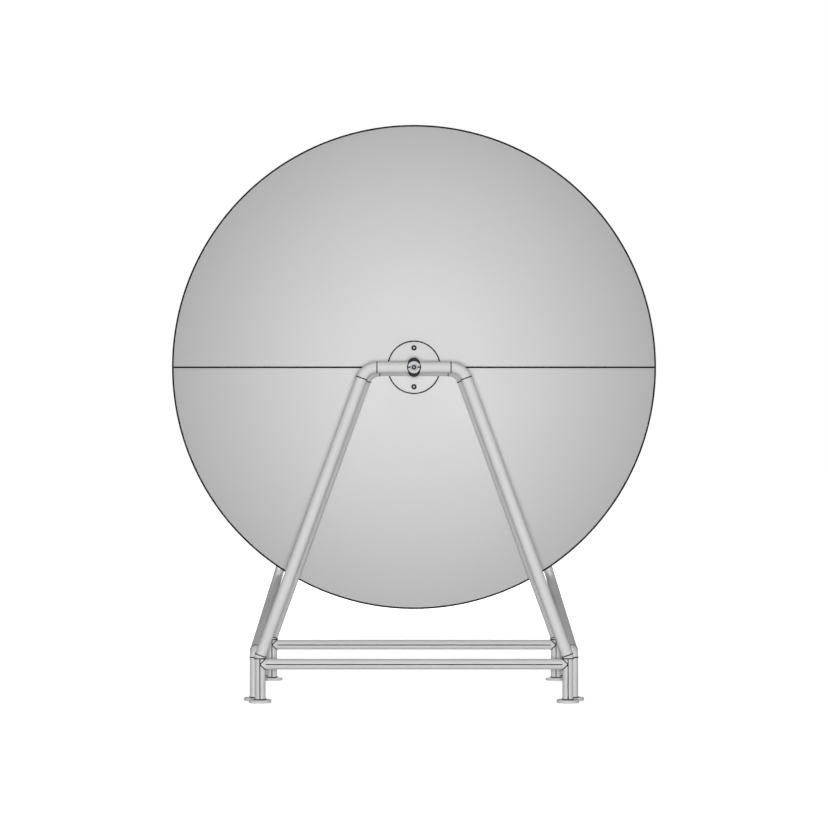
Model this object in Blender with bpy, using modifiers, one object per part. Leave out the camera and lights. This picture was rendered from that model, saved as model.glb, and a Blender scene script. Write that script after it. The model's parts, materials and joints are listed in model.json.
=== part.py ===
"""Dish antenna on a welded tube stand.

A shallow spun dish in two halves is bolted to the end of a long axle. The axle turns in
two bushes, one on the top bar of each A-shaped hoop, so the whole dish can be rolled
about its own axis. The axle rises a little towards the dish, which looks just above
level. A split collar holds the axle endwise. A low brace behind the dish carries two
pads that steady the rim.

Frame: metres, +Z up, +X to the right and +Y away from the viewer who faces the hub.
The origin is on the floor, under the middle of the whole assembly.
"""
import math

import bmesh
import bpy
from mathutils import Matrix, Vector

# Clearances
GAP = 0.0003                 # between two pieces that touch
RUNNING_GAP = 0.0003         # axle to bush, on the radius
PAD_GAP = 0.004              # steady pad to the turning rim

# Hoops, rails and feet
TUBE_OD = 0.0424
TUBE_WALL = 0.0032
HOOP_SPACING = 0.870         # front hoop to rear hoop
AXLE_HEIGHT = 1.250
POST_OD = 0.040              # posts, rails, brace and stays
POST_WALL = 0.003
POST_HALF_SPACING = 0.5733
KNEE_HEIGHT = 0.1728         # where the lines of leg and post meet
BAR_HALF_LENGTH = 0.1806     # corner of the top bar, before it is rounded
TOP_BEND = 0.061
KNEE_BEND = 0.025
HOOP_STUB = 0.003            # straight end of the hoop below its bend
RAIL_BELOW_HOOP = 0.002      # top of the cross rail to the end of the hoop
FOOT_RADIUS = 0.0415
FOOT_THICKNESS = 0.011
FOOT_HOLE_RADIUS = 0.0045
FOOT_HOLE_CIRCLE = 0.032     # radius of the circle of anchor holes
FOOT_HOLES = 4

# Rear brace and its stays
BRACE_HALF_WIDTH = 0.597     # at its feet
BRACE_FOOT_SPACING = 0.083   # behind the hoop's foot
BRACE_POST_TOP = 0.183
STEADY_TO_CORNER = 0.0475    # pad to the corner of the cross bar, along X
BRACE_CROSS_BEHIND_RIM = 0.235
BRACE_BEND = 0.030
STAY_AHEAD = 0.360           # stay's top in front of the cross bar, along Y
PAD_ANGLE = math.radians(31.8)    # pad round the rim, from straight down
PAD_INSET = 0.030            # pad inside the rim
STUD_RADIUS = 0.008
STUD_TAIL = 0.014            # stud past the back of the cross bar
PAD_RADIUS = 0.020
PAD_THICKNESS = 0.014
STUD_NUT_HEIGHT = 0.013
STUD_NUT_FLATS = 0.024

# Axle and its bearings
AXLE_TILT = math.radians(0.95)    # rise of the axle towards the dish
AXLE_RADIUS = 0.0125
BUSH_WALL = 0.0032
BUSH_FLANGE_RADIUS = 0.024
BUSH_FLANGE = 0.004
SADDLE_WIDTH = 0.046
SADDLE_HEIGHT = 0.072
SADDLE_THICKNESS = 0.006
WASHER_RADIUS = 0.022
WASHER_THICKNESS = 0.0025
COLLAR_RADIUS = 0.0225
COLLAR_WIDTH = 0.016
COLLAR_SPLIT = 0.0012
AXLE_STANDOUT = 0.002        # axle past the collar
END_WASHER_RADIUS = 0.0115
END_BOLT_RADIUS = 0.005
END_BOLT_FLATS = 0.017
END_BOLT_HEAD = 0.0064
END_BOLT_LENGTH = 0.030

# Hub
HUB_RADIUS = 0.1075
HUB_PLATE = 0.010
BACKING_PLATE = 0.008
HUB_BOLTS = 4
HUB_BOLT_CIRCLE = 0.079      # radius of the circle of bolts
HUB_BOLT_RADIUS = 0.005
HUB_BOLT_FLATS = 0.017
HUB_BOLT_HEAD = 0.0064
HUB_NUT_HEIGHT = 0.008
BOLT_TAIL = 0.003            # thread past its nut

# Dish
DISH_RADIUS = 1.010
DISH_CURVATURE = 1.760       # radius of the sphere that the dish is part of
DISH_SHELL = 0.004
DISH_FLAT_RADIUS = 0.116     # flat seat for the hub plates
RIM_FLANGE = 0.055           # flat return behind the rim
SEAM_GAP = 0.0006
SEAM_FLANGE_DEPTH = 0.030
SEAM_FLANGE_THICKNESS = 0.004
SEAM_FLANGE_START = 0.140
SEAM_FLANGE_SHORT = 0.060    # from the rim, so that it clears the steady pads
SEAM_BOLTS_FROM_RIM = (0.65, 0.38, 0.12)
SEAM_BOLT_RADIUS = 0.004
SEAM_BOLT_FLATS = 0.013
SEAM_BOLT_HEAD = 0.0053

# Feed
FEED_FLANGE_RADIUS = 0.055
FEED_FLANGE = 0.008
FEED_TUBE_RADIUS = 0.016
FEED_BORE_RADIUS = 0.0125
FEED_LENGTH = 0.760
FEED_CUP_RADIUS = 0.060
FEED_CUP_DEPTH = 0.090
FEED_CUP_WALL = 0.004
FEED_CUP_FLOOR = 0.008

# Facets
TUBE_SIDES = 12
TURN_STEPS = 24
DISH_STEPS = 48
DISH_RINGS = 7
BEND_STEP = math.radians(18)
DRILL_SIDES = 12
HEX_SIDES = 6
SHARP_ANGLE = math.radians(35)
WELD_DISTANCE = 0.00001

TUBE_RADIUS = TUBE_OD / 2
POST_RADIUS = POST_OD / 2
BUSH_BORE = AXLE_RADIUS + RUNNING_GAP
BUSH_RADIUS = BUSH_BORE + BUSH_WALL
FOOT_TOP = FOOT_THICKNESS + GAP
LEG_LEAN = math.atan2(POST_HALF_SPACING - BAR_HALF_LENGTH, AXLE_HEIGHT - KNEE_HEIGHT)
HOOP_END = KNEE_HEIGHT - KNEE_BEND * math.tan(LEG_LEAN / 2) - HOOP_STUB
RAIL_HEIGHT = HOOP_END - RAIL_BELOW_HOOP - POST_RADIUS
STEADY_X = (DISH_RADIUS - PAD_INSET) * math.sin(PAD_ANGLE)
STEADY_DROP = (DISH_RADIUS - PAD_INSET) * math.cos(PAD_ANGLE)
BRACE_CROSS_HALF = STEADY_X + STEADY_TO_CORNER
RISE = math.sin(AXLE_TILT)
LEVEL = math.cos(AXLE_TILT)

# Distances along the axle, measured from a hoop's centre plane
SADDLE_INNER = TUBE_RADIUS + GAP
SADDLE_OUTER = SADDLE_INNER + SADDLE_THICKNESS
FLANGE_INNER = SADDLE_OUTER + GAP
FLANGE_OUTER = FLANGE_INNER + BUSH_FLANGE
WASHER_INNER = FLANGE_OUTER + RUNNING_GAP
WASHER_OUTER = WASHER_INNER + WASHER_THICKNESS
COLLAR_INNER = WASHER_OUTER + GAP
COLLAR_OUTER = COLLAR_INNER + COLLAR_WIDTH
AXLE_FRONT = COLLAR_OUTER + AXLE_STANDOUT
END_WASHER_INNER = AXLE_FRONT + GAP
END_WASHER_OUTER = END_WASHER_INNER + WASHER_THICKNESS
FRONT_REACH = END_WASHER_OUTER + GAP + END_BOLT_HEAD

# Distances along the axle, measured from the front hoop's centre plane
HUB_FRONT = HOOP_SPACING + WASHER_OUTER + GAP
HUB_BACK = HUB_FRONT + HUB_PLATE
DISH_FRONT = HUB_BACK + GAP
BACKING_FRONT = DISH_FRONT + DISH_SHELL + GAP
BACKING_BACK = BACKING_FRONT + BACKING_PLATE
FEED_FRONT = BACKING_BACK + GAP
FEED_TUBE_END = FEED_FRONT + FEED_FLANGE + FEED_LENGTH
CUP_BACK = FEED_TUBE_END + GAP + FEED_CUP_FLOOR
CUP_FRONT = CUP_BACK - FEED_CUP_DEPTH

# Places along Y: the box of the whole assembly is centred on the origin
FRONT_EDGE = FRONT_REACH * LEVEL + END_BOLT_FLATS / 2 * RISE
REAR_EDGE = CUP_BACK * LEVEL + FEED_CUP_RADIUS * RISE
FRONT_HOOP_Y = (FRONT_EDGE - REAR_EDGE) / 2
REAR_HOOP_Y = FRONT_HOOP_Y + HOOP_SPACING
DISH_Y = FRONT_HOOP_Y + DISH_FRONT


def cap_height(radius):
    """Depth of the dish's outer face behind its flat seat, at a radius."""
    return CAP_SEAT - math.sqrt(DISH_CURVATURE ** 2 - radius ** 2)


def cap_radius(height):
    """Radius at which the dish's outer face reaches a depth."""
    return math.sqrt(DISH_CURVATURE ** 2 - (CAP_SEAT - height) ** 2)


CAP_SEAT = math.sqrt(DISH_CURVATURE ** 2 - DISH_FLAT_RADIUS ** 2)
RIM_BACK = DISH_FRONT + cap_height(DISH_RADIUS) + DISH_SHELL
CROSS_ALONG = RIM_BACK + BRACE_CROSS_BEHIND_RIM
BRACE_CROSS_Y = FRONT_HOOP_Y + CROSS_ALONG * LEVEL + STEADY_DROP * RISE
BRACE_CROSS_HEIGHT = AXLE_HEIGHT + CROSS_ALONG * RISE - STEADY_DROP * LEVEL


def clear_scene():
    for old in list(bpy.data.objects):
        bpy.data.objects.remove(old, do_unlink=True)


def new_collection(name):
    collection = bpy.data.collections.new(name)
    bpy.context.scene.collection.children.link(collection)
    return collection


def finish_material(name, colour, roughness, metallic):
    material = bpy.data.materials.new(name)
    material.use_nodes = True
    shader = material.node_tree.nodes["Principled BSDF"]
    shader.inputs["Base Color"].default_value = (*colour, 1.0)
    shader.inputs["Roughness"].default_value = roughness
    shader.inputs["Metallic"].default_value = metallic
    return material


clear_scene()
PARTS = new_collection("dish_antenna_on_stand")
CUTTERS = new_collection("cutters")

AXLE_LINE = bpy.data.objects.new("axle_line", None)
CUTTERS.objects.link(AXLE_LINE)
AXLE_LINE.location = (0, FRONT_HOOP_Y, AXLE_HEIGHT)
AXLE_LINE.rotation_euler = (AXLE_TILT, 0, 0)

STEEL = finish_material("grey_coated_tube", (0.57, 0.57, 0.57), 0.55, 0.0)
DISH_PAINT = finish_material("dish_paint", (0.63, 0.63, 0.63), 0.6, 0.0)
PLATE_STEEL = finish_material("grey_coated_plate", (0.66, 0.66, 0.66), 0.55, 0.0)
BLACKENED = finish_material("blackened_steel", (0.04, 0.04, 0.04), 0.55, 1.0)
BRONZE = finish_material("bush_bronze", (0.50, 0.36, 0.17), 0.4, 1.0)
FASTENER = finish_material("zinc_fastener", (0.55, 0.55, 0.56), 0.35, 1.0)
RUBBER = finish_material("pad_rubber", (0.03, 0.03, 0.03), 0.8, 0.0)
ALUMINIUM = finish_material("feed_aluminium", (0.70, 0.71, 0.72), 0.35, 1.0)


def put(piece, place, on_axle):
    """Place a piece. One on the axle leans with it, about the front hoop's bush."""
    piece.location = place
    if on_axle:
        piece.parent = AXLE_LINE
        piece.location = Vector(place) - AXLE_LINE.location


def add_part(name, mesh, material, place=(0, 0, 0), on_axle=False):
    """Link a mesh as one named piece with its own finish."""
    piece = bpy.data.objects.new(name, mesh)
    PARTS.objects.link(piece)
    put(piece, place, on_axle)
    if not mesh.materials:
        mesh.materials.append(material)
    mesh.shade_smooth()
    mesh.set_sharp_from_angle(angle=SHARP_ANGLE)
    return piece


def add_cutter(name, mesh, place=(0, 0, 0), on_axle=False):
    """Link a mesh that only cuts or joins other pieces."""
    tool = bpy.data.objects.new(name, mesh)
    CUTTERS.objects.link(tool)
    put(tool, place, on_axle)
    tool.hide_render = True
    tool.display_type = 'WIRE'
    return tool


def combine(piece, tool, operation):
    change = piece.modifiers.new(operation.lower() + "_" + tool.name, 'BOOLEAN')
    change.operation = operation
    change.object = tool


def evaluated_mesh(source):
    """Mesh of an object with its modifiers in force."""
    bpy.context.view_layer.update()
    graph = bpy.context.evaluated_depsgraph_get()
    return bpy.data.meshes.new_from_object(source.evaluated_get(graph))


AXES = {
    'X': Matrix.Rotation(math.pi / 2, 4, 'Y'),
    'Y': Matrix.Rotation(-math.pi / 2, 4, 'X'),
    'Z': Matrix.Identity(4),
}


def rod_mesh(name, radius, start, end, axis='Y', sides=TURN_STEPS):
    """A round or, with six sides, a hexagonal bar from start to end along an axis."""
    body = bmesh.new()
    bmesh.ops.create_cone(body, cap_ends=True, segments=sides, radius1=radius,
                          radius2=radius, depth=end - start)
    bmesh.ops.translate(body, verts=body.verts, vec=(0, 0, (start + end) / 2))
    bmesh.ops.transform(body, verts=body.verts, matrix=AXES[axis])
    mesh = bpy.data.meshes.new(name)
    body.to_mesh(mesh)
    body.free()
    return mesh


def box_mesh(name, low, high):
    low, high = Vector(low), Vector(high)
    body = bmesh.new()
    bmesh.ops.create_cube(body, size=1.0)
    bmesh.ops.scale(body, verts=body.verts, vec=high - low)
    bmesh.ops.translate(body, verts=body.verts, vec=(low + high) / 2)
    mesh = bpy.data.meshes.new(name)
    body.to_mesh(mesh)
    body.free()
    return mesh


def turn(piece, steps):
    """Spin an object's profile about its own Z axis."""
    screw = piece.modifiers.new("turn", 'SCREW')
    screw.steps = steps
    screw.render_steps = steps
    screw.use_merge_vertices = True
    screw.merge_threshold = WELD_DISTANCE
    piece.rotation_euler = (-math.pi / 2, 0, 0)


def loop_mesh(name, profile):
    """Closed outline of (radius, distance along the axle) points for turning."""
    mesh = bpy.data.meshes.new(name)
    points = [(radius, 0, height) for radius, height in profile]
    edges = [(i, (i + 1) % len(points)) for i in range(len(points))]
    mesh.from_pydata(points, edges, [])
    return mesh


def turned_part(name, profile, y, material, steps=TURN_STEPS):
    piece = add_part(name, loop_mesh(name, profile), material, (0, y, AXLE_HEIGHT), True)
    turn(piece, steps)
    return piece


def ring_profile(outer, inner, start, end):
    return [(outer, end), (outer, start), (inner, start), (inner, end)]


def rounded_path(corners, radii):
    """Points along straight runs whose inner corners are replaced by arcs."""
    corners = [Vector(corner) for corner in corners]
    path = [corners[0]]
    for before, corner, after, radius in zip(corners, corners[1:], corners[2:], radii):
        back = (before - corner).normalized()
        ahead = (after - corner).normalized()
        half = back.angle(ahead) / 2
        centre = corner + (back + ahead).normalized() * (radius / math.sin(half))
        start = corner + back * (radius / math.tan(half))
        sweep = math.pi - 2 * half
        axis = back.cross(start - centre)
        steps = max(2, round(sweep / BEND_STEP))
        for i in range(steps + 1):
            turned = Matrix.Rotation(sweep * i / steps, 3, axis) @ (start - centre)
            path.append(centre + turned)
    path.append(corners[-1])
    return path


def tube_part(name, path, radius, wall, material):
    """A bent tube with open ends, as a curve made into a mesh with a wall."""
    curve = bpy.data.curves.new(name + "_path", 'CURVE')
    curve.dimensions = '3D'
    curve.bevel_depth = radius
    curve.bevel_resolution = TUBE_SIDES // 2 - 2
    spline = curve.splines.new('POLY')
    spline.points.add(len(path) - 1)
    for point, place in zip(spline.points, path):
        point.co = (*place, 1.0)
    guide = add_cutter(name + "_path", curve)
    mesh = evaluated_mesh(guide)
    mesh.name = name
    bpy.data.objects.remove(guide)
    skin = bmesh.new()
    skin.from_mesh(mesh)
    bmesh.ops.remove_doubles(skin, verts=skin.verts, dist=WELD_DISTANCE)
    skin.to_mesh(mesh)
    skin.free()
    piece = add_part(name, mesh, material)
    shell = piece.modifiers.new("wall", 'SOLIDIFY')
    shell.thickness = wall
    shell.offset = -1
    shell.use_even_offset = True
    return piece


def hex_radius(flats):
    """Corner radius of a hexagon from its width across flats."""
    return flats / 2 / math.cos(math.pi / 6)


def bolt_mesh(name, flats, head, shank_radius, length, axis):
    """Hexagon bolt whose head ends at zero and whose shank runs along the axis."""
    bolt = add_cutter(name, rod_mesh(name, hex_radius(flats), -head, 0, axis, HEX_SIDES))
    overlap = head / 2
    shank = rod_mesh(name, shank_radius, -overlap, length, axis, DRILL_SIDES)
    shank = add_cutter(name + "_shank", shank)
    combine(bolt, shank, 'UNION')
    mesh = evaluated_mesh(bolt)
    bpy.data.objects.remove(bolt)
    bpy.data.objects.remove(shank)
    return mesh


def nut_mesh(name, flats, height, bore):
    """Hexagon nut along Y, from zero to its height."""
    nut = add_cutter(name, rod_mesh(name, hex_radius(flats), 0, height, 'Y', HEX_SIDES))
    hole = add_cutter(name + "_bore", rod_mesh(name, bore, -height, 2 * height, 'Y', DRILL_SIDES))
    combine(nut, hole, 'DIFFERENCE')
    mesh = evaluated_mesh(nut)
    bpy.data.objects.remove(nut)
    bpy.data.objects.remove(hole)
    return mesh


SIDES = (("left", -1), ("right", 1))
HOOPS = (("front", FRONT_HOOP_Y, -1), ("rear", REAR_HOOP_Y, 1))


def make_hoop(name, y):
    """One tube bent into a leg, the top bar and a leg, whose ends point straight down."""
    half = [
        (POST_HALF_SPACING, y, HOOP_END),
        (POST_HALF_SPACING, y, KNEE_HEIGHT),
        (BAR_HALF_LENGTH, y, AXLE_HEIGHT),
    ]
    corners = half + [(-x, y, z) for x, y, z in reversed(half)]
    path = rounded_path(corners, (KNEE_BEND, TOP_BEND, TOP_BEND, KNEE_BEND))
    hoop = tube_part(name + "_hoop", path, TUBE_RADIUS, TUBE_WALL, STEEL)
    reach = TUBE_OD
    bore = rod_mesh(name + "_bush_bore", BUSH_RADIUS + GAP, -reach, reach)
    bore = add_cutter(name + "_bush_bore", bore, (0, y, AXLE_HEIGHT), True)
    combine(hoop, bore, 'DIFFERENCE')


def make_rail(name, y):
    """Cross tube between two posts, with its ends coped to fit round them."""
    ends = [(-POST_HALF_SPACING, y, RAIL_HEIGHT), (POST_HALF_SPACING, y, RAIL_HEIGHT)]
    rail = tube_part(name + "_rail", [Vector(end) for end in ends], POST_RADIUS, POST_WALL, STEEL)
    for side, sign in SIDES:
        cope_name = name + "_" + side + "_cope"
        cope = rod_mesh(cope_name, POST_RADIUS + GAP, -POST_OD, POST_OD, 'Z')
        place = (sign * POST_HALF_SPACING, y, RAIL_HEIGHT)
        combine(rail, add_cutter(cope_name, cope, place), 'DIFFERENCE')


def foot_mesh():
    """Round base plate with a circle of anchor holes."""
    plate = add_cutter("foot_blank", rod_mesh("foot", FOOT_RADIUS, 0, FOOT_THICKNESS, 'Z'))
    drills = []
    for i in range(FOOT_HOLES):
        angle = math.tau * (i + 0.5) / FOOT_HOLES
        place = (FOOT_HOLE_CIRCLE * math.cos(angle), FOOT_HOLE_CIRCLE * math.sin(angle), 0)
        reach = 2 * FOOT_THICKNESS
        drill = rod_mesh("foot_drill", FOOT_HOLE_RADIUS, -reach, reach, 'Z', DRILL_SIDES)
        drills.append(add_cutter("foot_drill", drill, place))
        combine(plate, drills[-1], 'DIFFERENCE')
    mesh = evaluated_mesh(plate)
    for tool in drills + [plate]:
        bpy.data.objects.remove(tool)
    return mesh


def make_stand():
    foot = foot_mesh()
    for name, y, _ in HOOPS:
        make_hoop(name, y)
        make_rail(name, y)
        for side, sign in SIDES:
            corner = name + "_" + side
            x = sign * POST_HALF_SPACING
            post = [Vector((x, y, FOOT_TOP)), Vector((x, y, HOOP_END - GAP))]
            tube_part(corner + "_post", post, POST_RADIUS, POST_WALL, STEEL)
            add_part(corner + "_foot", foot, STEEL, (x, y, 0))
            brace_place = (sign * BRACE_HALF_WIDTH, y + BRACE_FOOT_SPACING, 0)
            add_part(corner + "_brace_foot", foot, STEEL, brace_place)


def rod_between(name, radius, start, end):
    """Round bar between two points, as a mesh in place."""
    run = end - start
    body = bmesh.new()
    bmesh.ops.create_cone(body, cap_ends=True, segments=TURN_STEPS, radius1=radius,
                          radius2=radius, depth=run.length)
    turn_to_run = run.to_track_quat('Z', 'X').to_matrix().to_4x4()
    place = Matrix.Translation((start + end) / 2) @ turn_to_run
    bmesh.ops.transform(body, verts=body.verts, matrix=place)
    mesh = bpy.data.meshes.new(name)
    body.to_mesh(mesh)
    body.free()
    return mesh


def make_brace():
    """Low bent tube that passes under the rim, with a short stay on each side."""
    front_y = FRONT_HOOP_Y + BRACE_FOOT_SPACING
    rear_y = REAR_HOOP_Y + BRACE_FOOT_SPACING
    half = [
        (BRACE_HALF_WIDTH, front_y, FOOT_TOP),
        (BRACE_HALF_WIDTH, front_y, BRACE_POST_TOP),
        (BRACE_CROSS_HALF, BRACE_CROSS_Y, BRACE_CROSS_HEIGHT),
    ]
    corners = half + [(-x, y, z) for x, y, z in reversed(half)]
    path = rounded_path(corners, (KNEE_BEND, BRACE_BEND, BRACE_BEND, KNEE_BEND))
    brace = tube_part("rear_brace", path, POST_RADIUS, POST_WALL, STEEL)
    for side, sign in SIDES:
        mirror = Vector((sign, 1, 1))
        run_start = Vector(half[1]) * mirror
        run_end = Vector(half[2]) * mirror
        along = 1 - STAY_AHEAD / (run_end.y - run_start.y)
        meeting = run_start.lerp(run_end, along)
        stay_corners = [
            (sign * BRACE_HALF_WIDTH, rear_y, FOOT_TOP),
            (sign * BRACE_HALF_WIDTH, rear_y, BRACE_POST_TOP),
            meeting,
        ]
        stay = tube_part(side + "_stay", rounded_path(stay_corners, (KNEE_BEND,)),
                         POST_RADIUS, POST_WALL, STEEL)
        cope_name = side + "_stay_cope"
        cope = rod_between(cope_name, POST_RADIUS + GAP, run_start, run_end)
        combine(stay, add_cutter(cope_name, cope), 'DIFFERENCE')
        drill_name = side + "_stud_hole"
        drill = rod_mesh(drill_name, STUD_RADIUS + GAP, -POST_OD, POST_OD, 'Y', DRILL_SIDES)
        drill_place = steady_place(sign) + Vector((0, CROSS_ALONG, 0))
        combine(brace, add_cutter(drill_name, drill, drill_place, True), 'DIFFERENCE')


def steady_place(sign):
    """Foot of a pad's centre line, beside the front hoop's bush."""
    return Vector((sign * STEADY_X, FRONT_HOOP_Y, AXLE_HEIGHT - STEADY_DROP))


def make_steadies():
    """Rubber pads on studs, just behind the flat return of the rim."""
    pad_front = RIM_BACK + PAD_GAP
    stud_front = pad_front + PAD_THICKNESS + GAP
    stud_back = CROSS_ALONG + POST_RADIUS + STUD_TAIL
    nut_front = CROSS_ALONG - POST_RADIUS - GAP - STUD_NUT_HEIGHT
    pad = rod_mesh("steady_pad", PAD_RADIUS, pad_front, pad_front + PAD_THICKNESS)
    stud = rod_mesh("steady_stud", STUD_RADIUS, stud_front, stud_back, 'Y', DRILL_SIDES)
    nut = nut_mesh("steady_nut", STUD_NUT_FLATS, STUD_NUT_HEIGHT, STUD_RADIUS + GAP)
    for side, sign in SIDES:
        place = steady_place(sign)
        add_part(side + "_steady_pad", pad, RUBBER, place, True)
        add_part(side + "_steady_stud", stud, FASTENER, place, True)
        add_part(side + "_steady_nut", nut, FASTENER, place + Vector((0, nut_front, 0)), True)


def saddle_mesh():
    """Upright oblong plate with round ends and a hole for the bush."""
    half_width = SADDLE_WIDTH / 2
    straight = SADDLE_HEIGHT / 2 - half_width
    oblong = bmesh.new()
    oblong.from_mesh(rod_mesh("saddle", half_width, 0, SADDLE_THICKNESS))
    half_step = Matrix.Rotation(math.pi / TURN_STEPS, 3, 'Y')
    bmesh.ops.rotate(oblong, verts=oblong.verts, cent=(0, 0, 0), matrix=half_step)
    for sign in (-1, 1):
        end = [vert for vert in oblong.verts if vert.co.z * sign > 0]
        bmesh.ops.translate(oblong, verts=end, vec=(0, 0, sign * straight))
    outline = bpy.data.meshes.new("saddle")
    oblong.to_mesh(outline)
    oblong.free()
    plate = add_cutter("saddle_blank", outline)
    bore = rod_mesh("saddle_bore", BUSH_RADIUS + GAP, -SADDLE_THICKNESS, 2 * SADDLE_THICKNESS)
    bore = add_cutter("saddle_bore", bore)
    combine(plate, bore, 'DIFFERENCE')
    mesh = evaluated_mesh(plate)
    bpy.data.objects.remove(bore)
    bpy.data.objects.remove(plate)
    return mesh


def make_bearings():
    """Saddle plates either side of each top bar, and a flanged bush through them."""
    saddle = saddle_mesh()
    for name, y, facing in HOOPS:
        for place, start in (("front", -SADDLE_OUTER), ("back", SADDLE_INNER)):
            add_part(name + "_hoop_" + place + "_saddle", saddle, BLACKENED,
                     (0, y + start, AXLE_HEIGHT), True)
        outer = (BUSH_FLANGE_RADIUS, BUSH_RADIUS)
        if facing > 0:
            profile = [(outer[0], FLANGE_OUTER), (outer[0], FLANGE_INNER),
                       (outer[1], FLANGE_INNER), (outer[1], -SADDLE_OUTER),
                       (BUSH_BORE, -SADDLE_OUTER), (BUSH_BORE, FLANGE_OUTER)]
        else:
            profile = [(outer[1], SADDLE_OUTER), (outer[1], -FLANGE_INNER),
                       (outer[0], -FLANGE_INNER), (outer[0], -FLANGE_OUTER),
                       (BUSH_BORE, -FLANGE_OUTER), (BUSH_BORE, SADDLE_OUTER)]
        turned_part(name + "_bush", profile, y, BRONZE)
        start, end = sorted((facing * WASHER_INNER, facing * WASHER_OUTER))
        washer = ring_profile(WASHER_RADIUS, AXLE_RADIUS + GAP, start, end)
        turned_part(name + "_thrust_washer", washer, y, FASTENER)


def make_axle():
    """Straight shaft with a tapped front end, its split collar and its end bolt."""
    front = FRONT_HOOP_Y - AXLE_FRONT
    axle_mesh = rod_mesh("axle", AXLE_RADIUS, 0, BACKING_BACK + AXLE_FRONT)
    axle = add_part("axle", axle_mesh, FASTENER, (0, front, AXLE_HEIGHT), True)
    tapped = rod_mesh("axle_tapping", END_BOLT_RADIUS + GAP, -AXLE_RADIUS, END_BOLT_LENGTH,
                      'Y', DRILL_SIDES)
    tapped = add_cutter("axle_tapping", tapped, (0, front, AXLE_HEIGHT), True)
    combine(axle, tapped, 'DIFFERENCE')

    collar = ring_profile(COLLAR_RADIUS, AXLE_RADIUS + GAP, -COLLAR_OUTER, -COLLAR_INNER)
    reach = 2 * COLLAR_RADIUS
    for name, low, high in (("upper", COLLAR_SPLIT / 2, reach), ("lower", -reach, -COLLAR_SPLIT / 2)):
        half = turned_part("collar_" + name, collar, FRONT_HOOP_Y, FASTENER)
        keep = box_mesh("collar_keep_" + name, (-reach, -reach, low), (reach, reach, high))
        keep_place = (0, FRONT_HOOP_Y - COLLAR_OUTER, AXLE_HEIGHT)
        combine(half, add_cutter("collar_keep_" + name, keep, keep_place, True), 'INTERSECT')

    washer = ring_profile(END_WASHER_RADIUS, END_BOLT_RADIUS + GAP, -END_WASHER_OUTER, -END_WASHER_INNER)
    turned_part("end_washer", washer, FRONT_HOOP_Y, FASTENER)
    shank = END_WASHER_OUTER - AXLE_FRONT + END_BOLT_LENGTH - AXLE_RADIUS
    bolt = bolt_mesh("end_bolt", END_BOLT_FLATS, END_BOLT_HEAD, END_BOLT_RADIUS, shank, 'Y')
    bolt_place = (0, FRONT_HOOP_Y - END_WASHER_OUTER - GAP, AXLE_HEIGHT)
    add_part("end_bolt", bolt, FASTENER, bolt_place, True)


def hub_bolt_places():
    for i in range(HUB_BOLTS):
        angle = math.tau * i / HUB_BOLTS + math.pi / 2
        yield HUB_BOLT_CIRCLE * math.cos(angle), AXLE_HEIGHT + HUB_BOLT_CIRCLE * math.sin(angle)


def make_hub(drills):
    """Plates either side of the dish, and the bolts that clamp it between them."""
    bore = AXLE_RADIUS + GAP
    front = ring_profile(HUB_RADIUS, bore, 0, HUB_PLATE)
    plates = [turned_part("hub_plate", front, FRONT_HOOP_Y + HUB_FRONT, PLATE_STEEL)]
    back = ring_profile(HUB_RADIUS, bore, 0, BACKING_PLATE)
    plates.append(turned_part("backing_plate", back, FRONT_HOOP_Y + BACKING_FRONT, PLATE_STEEL))
    for plate in plates:
        for drill in drills:
            combine(plate, drill, 'DIFFERENCE')
    grip = BACKING_BACK - HUB_FRONT + 2 * GAP
    length = grip + HUB_NUT_HEIGHT + BOLT_TAIL
    bolt = bolt_mesh("hub_bolt", HUB_BOLT_FLATS, HUB_BOLT_HEAD, HUB_BOLT_RADIUS, length, 'Y')
    nut = nut_mesh("hub_nut", HUB_BOLT_FLATS, HUB_NUT_HEIGHT, HUB_BOLT_RADIUS + GAP)
    for i, (x, z) in enumerate(hub_bolt_places(), 1):
        bolt_place = (x, FRONT_HOOP_Y + HUB_FRONT - GAP, z)
        add_part(f"hub_bolt_{i}", bolt, FASTENER, bolt_place, True)
        nut_place = (x, FRONT_HOOP_Y + BACKING_BACK + GAP, z)
        add_part(f"hub_nut_{i}", nut, FASTENER, nut_place, True)


def dish_radii(start):
    """Radii of the rings of the curved face, from start to the rim."""
    return [start + (DISH_RADIUS - start) * i / DISH_RINGS for i in range(DISH_RINGS + 1)]


def dish_profile():
    """Section of the shell: outer face, rim return, inner face and centre hole."""
    bore = AXLE_RADIUS + GAP
    outer = [(r, cap_height(r)) for r in dish_radii(DISH_FLAT_RADIUS)]
    rim = cap_height(DISH_RADIUS)
    inner_rim = DISH_RADIUS - RIM_FLANGE
    meeting = cap_radius(rim - DISH_SHELL)
    lip = [(DISH_RADIUS, rim + DISH_SHELL), (inner_rim, rim + DISH_SHELL),
           (inner_rim, rim), (meeting, rim)]
    inner = [(r, cap_height(r) + DISH_SHELL) for r in dish_radii(DISH_FLAT_RADIUS) if r < meeting]
    section = [(bore, 0)] + outer + lip + inner[::-1] + [(bore, DISH_SHELL)]
    return section[::-1]


def seam_profile():
    """Section of the flange along the seam, from mid wall to its free edge."""
    last = DISH_RADIUS - SEAM_FLANGE_SHORT
    radii = [r for r in dish_radii(SEAM_FLANGE_START) if r < last] + [last]
    wall = [(r, cap_height(r) + DISH_SHELL / 2) for r in radii]
    edge = [(r, cap_height(r) + SEAM_FLANGE_DEPTH) for r in radii]
    return edge + wall[::-1]


def turned_tool(name, profile, y):
    tool = add_cutter(name, loop_mesh(name, profile), (0, y, AXLE_HEIGHT), True)
    turn(tool, DISH_STEPS)
    return tool


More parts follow.
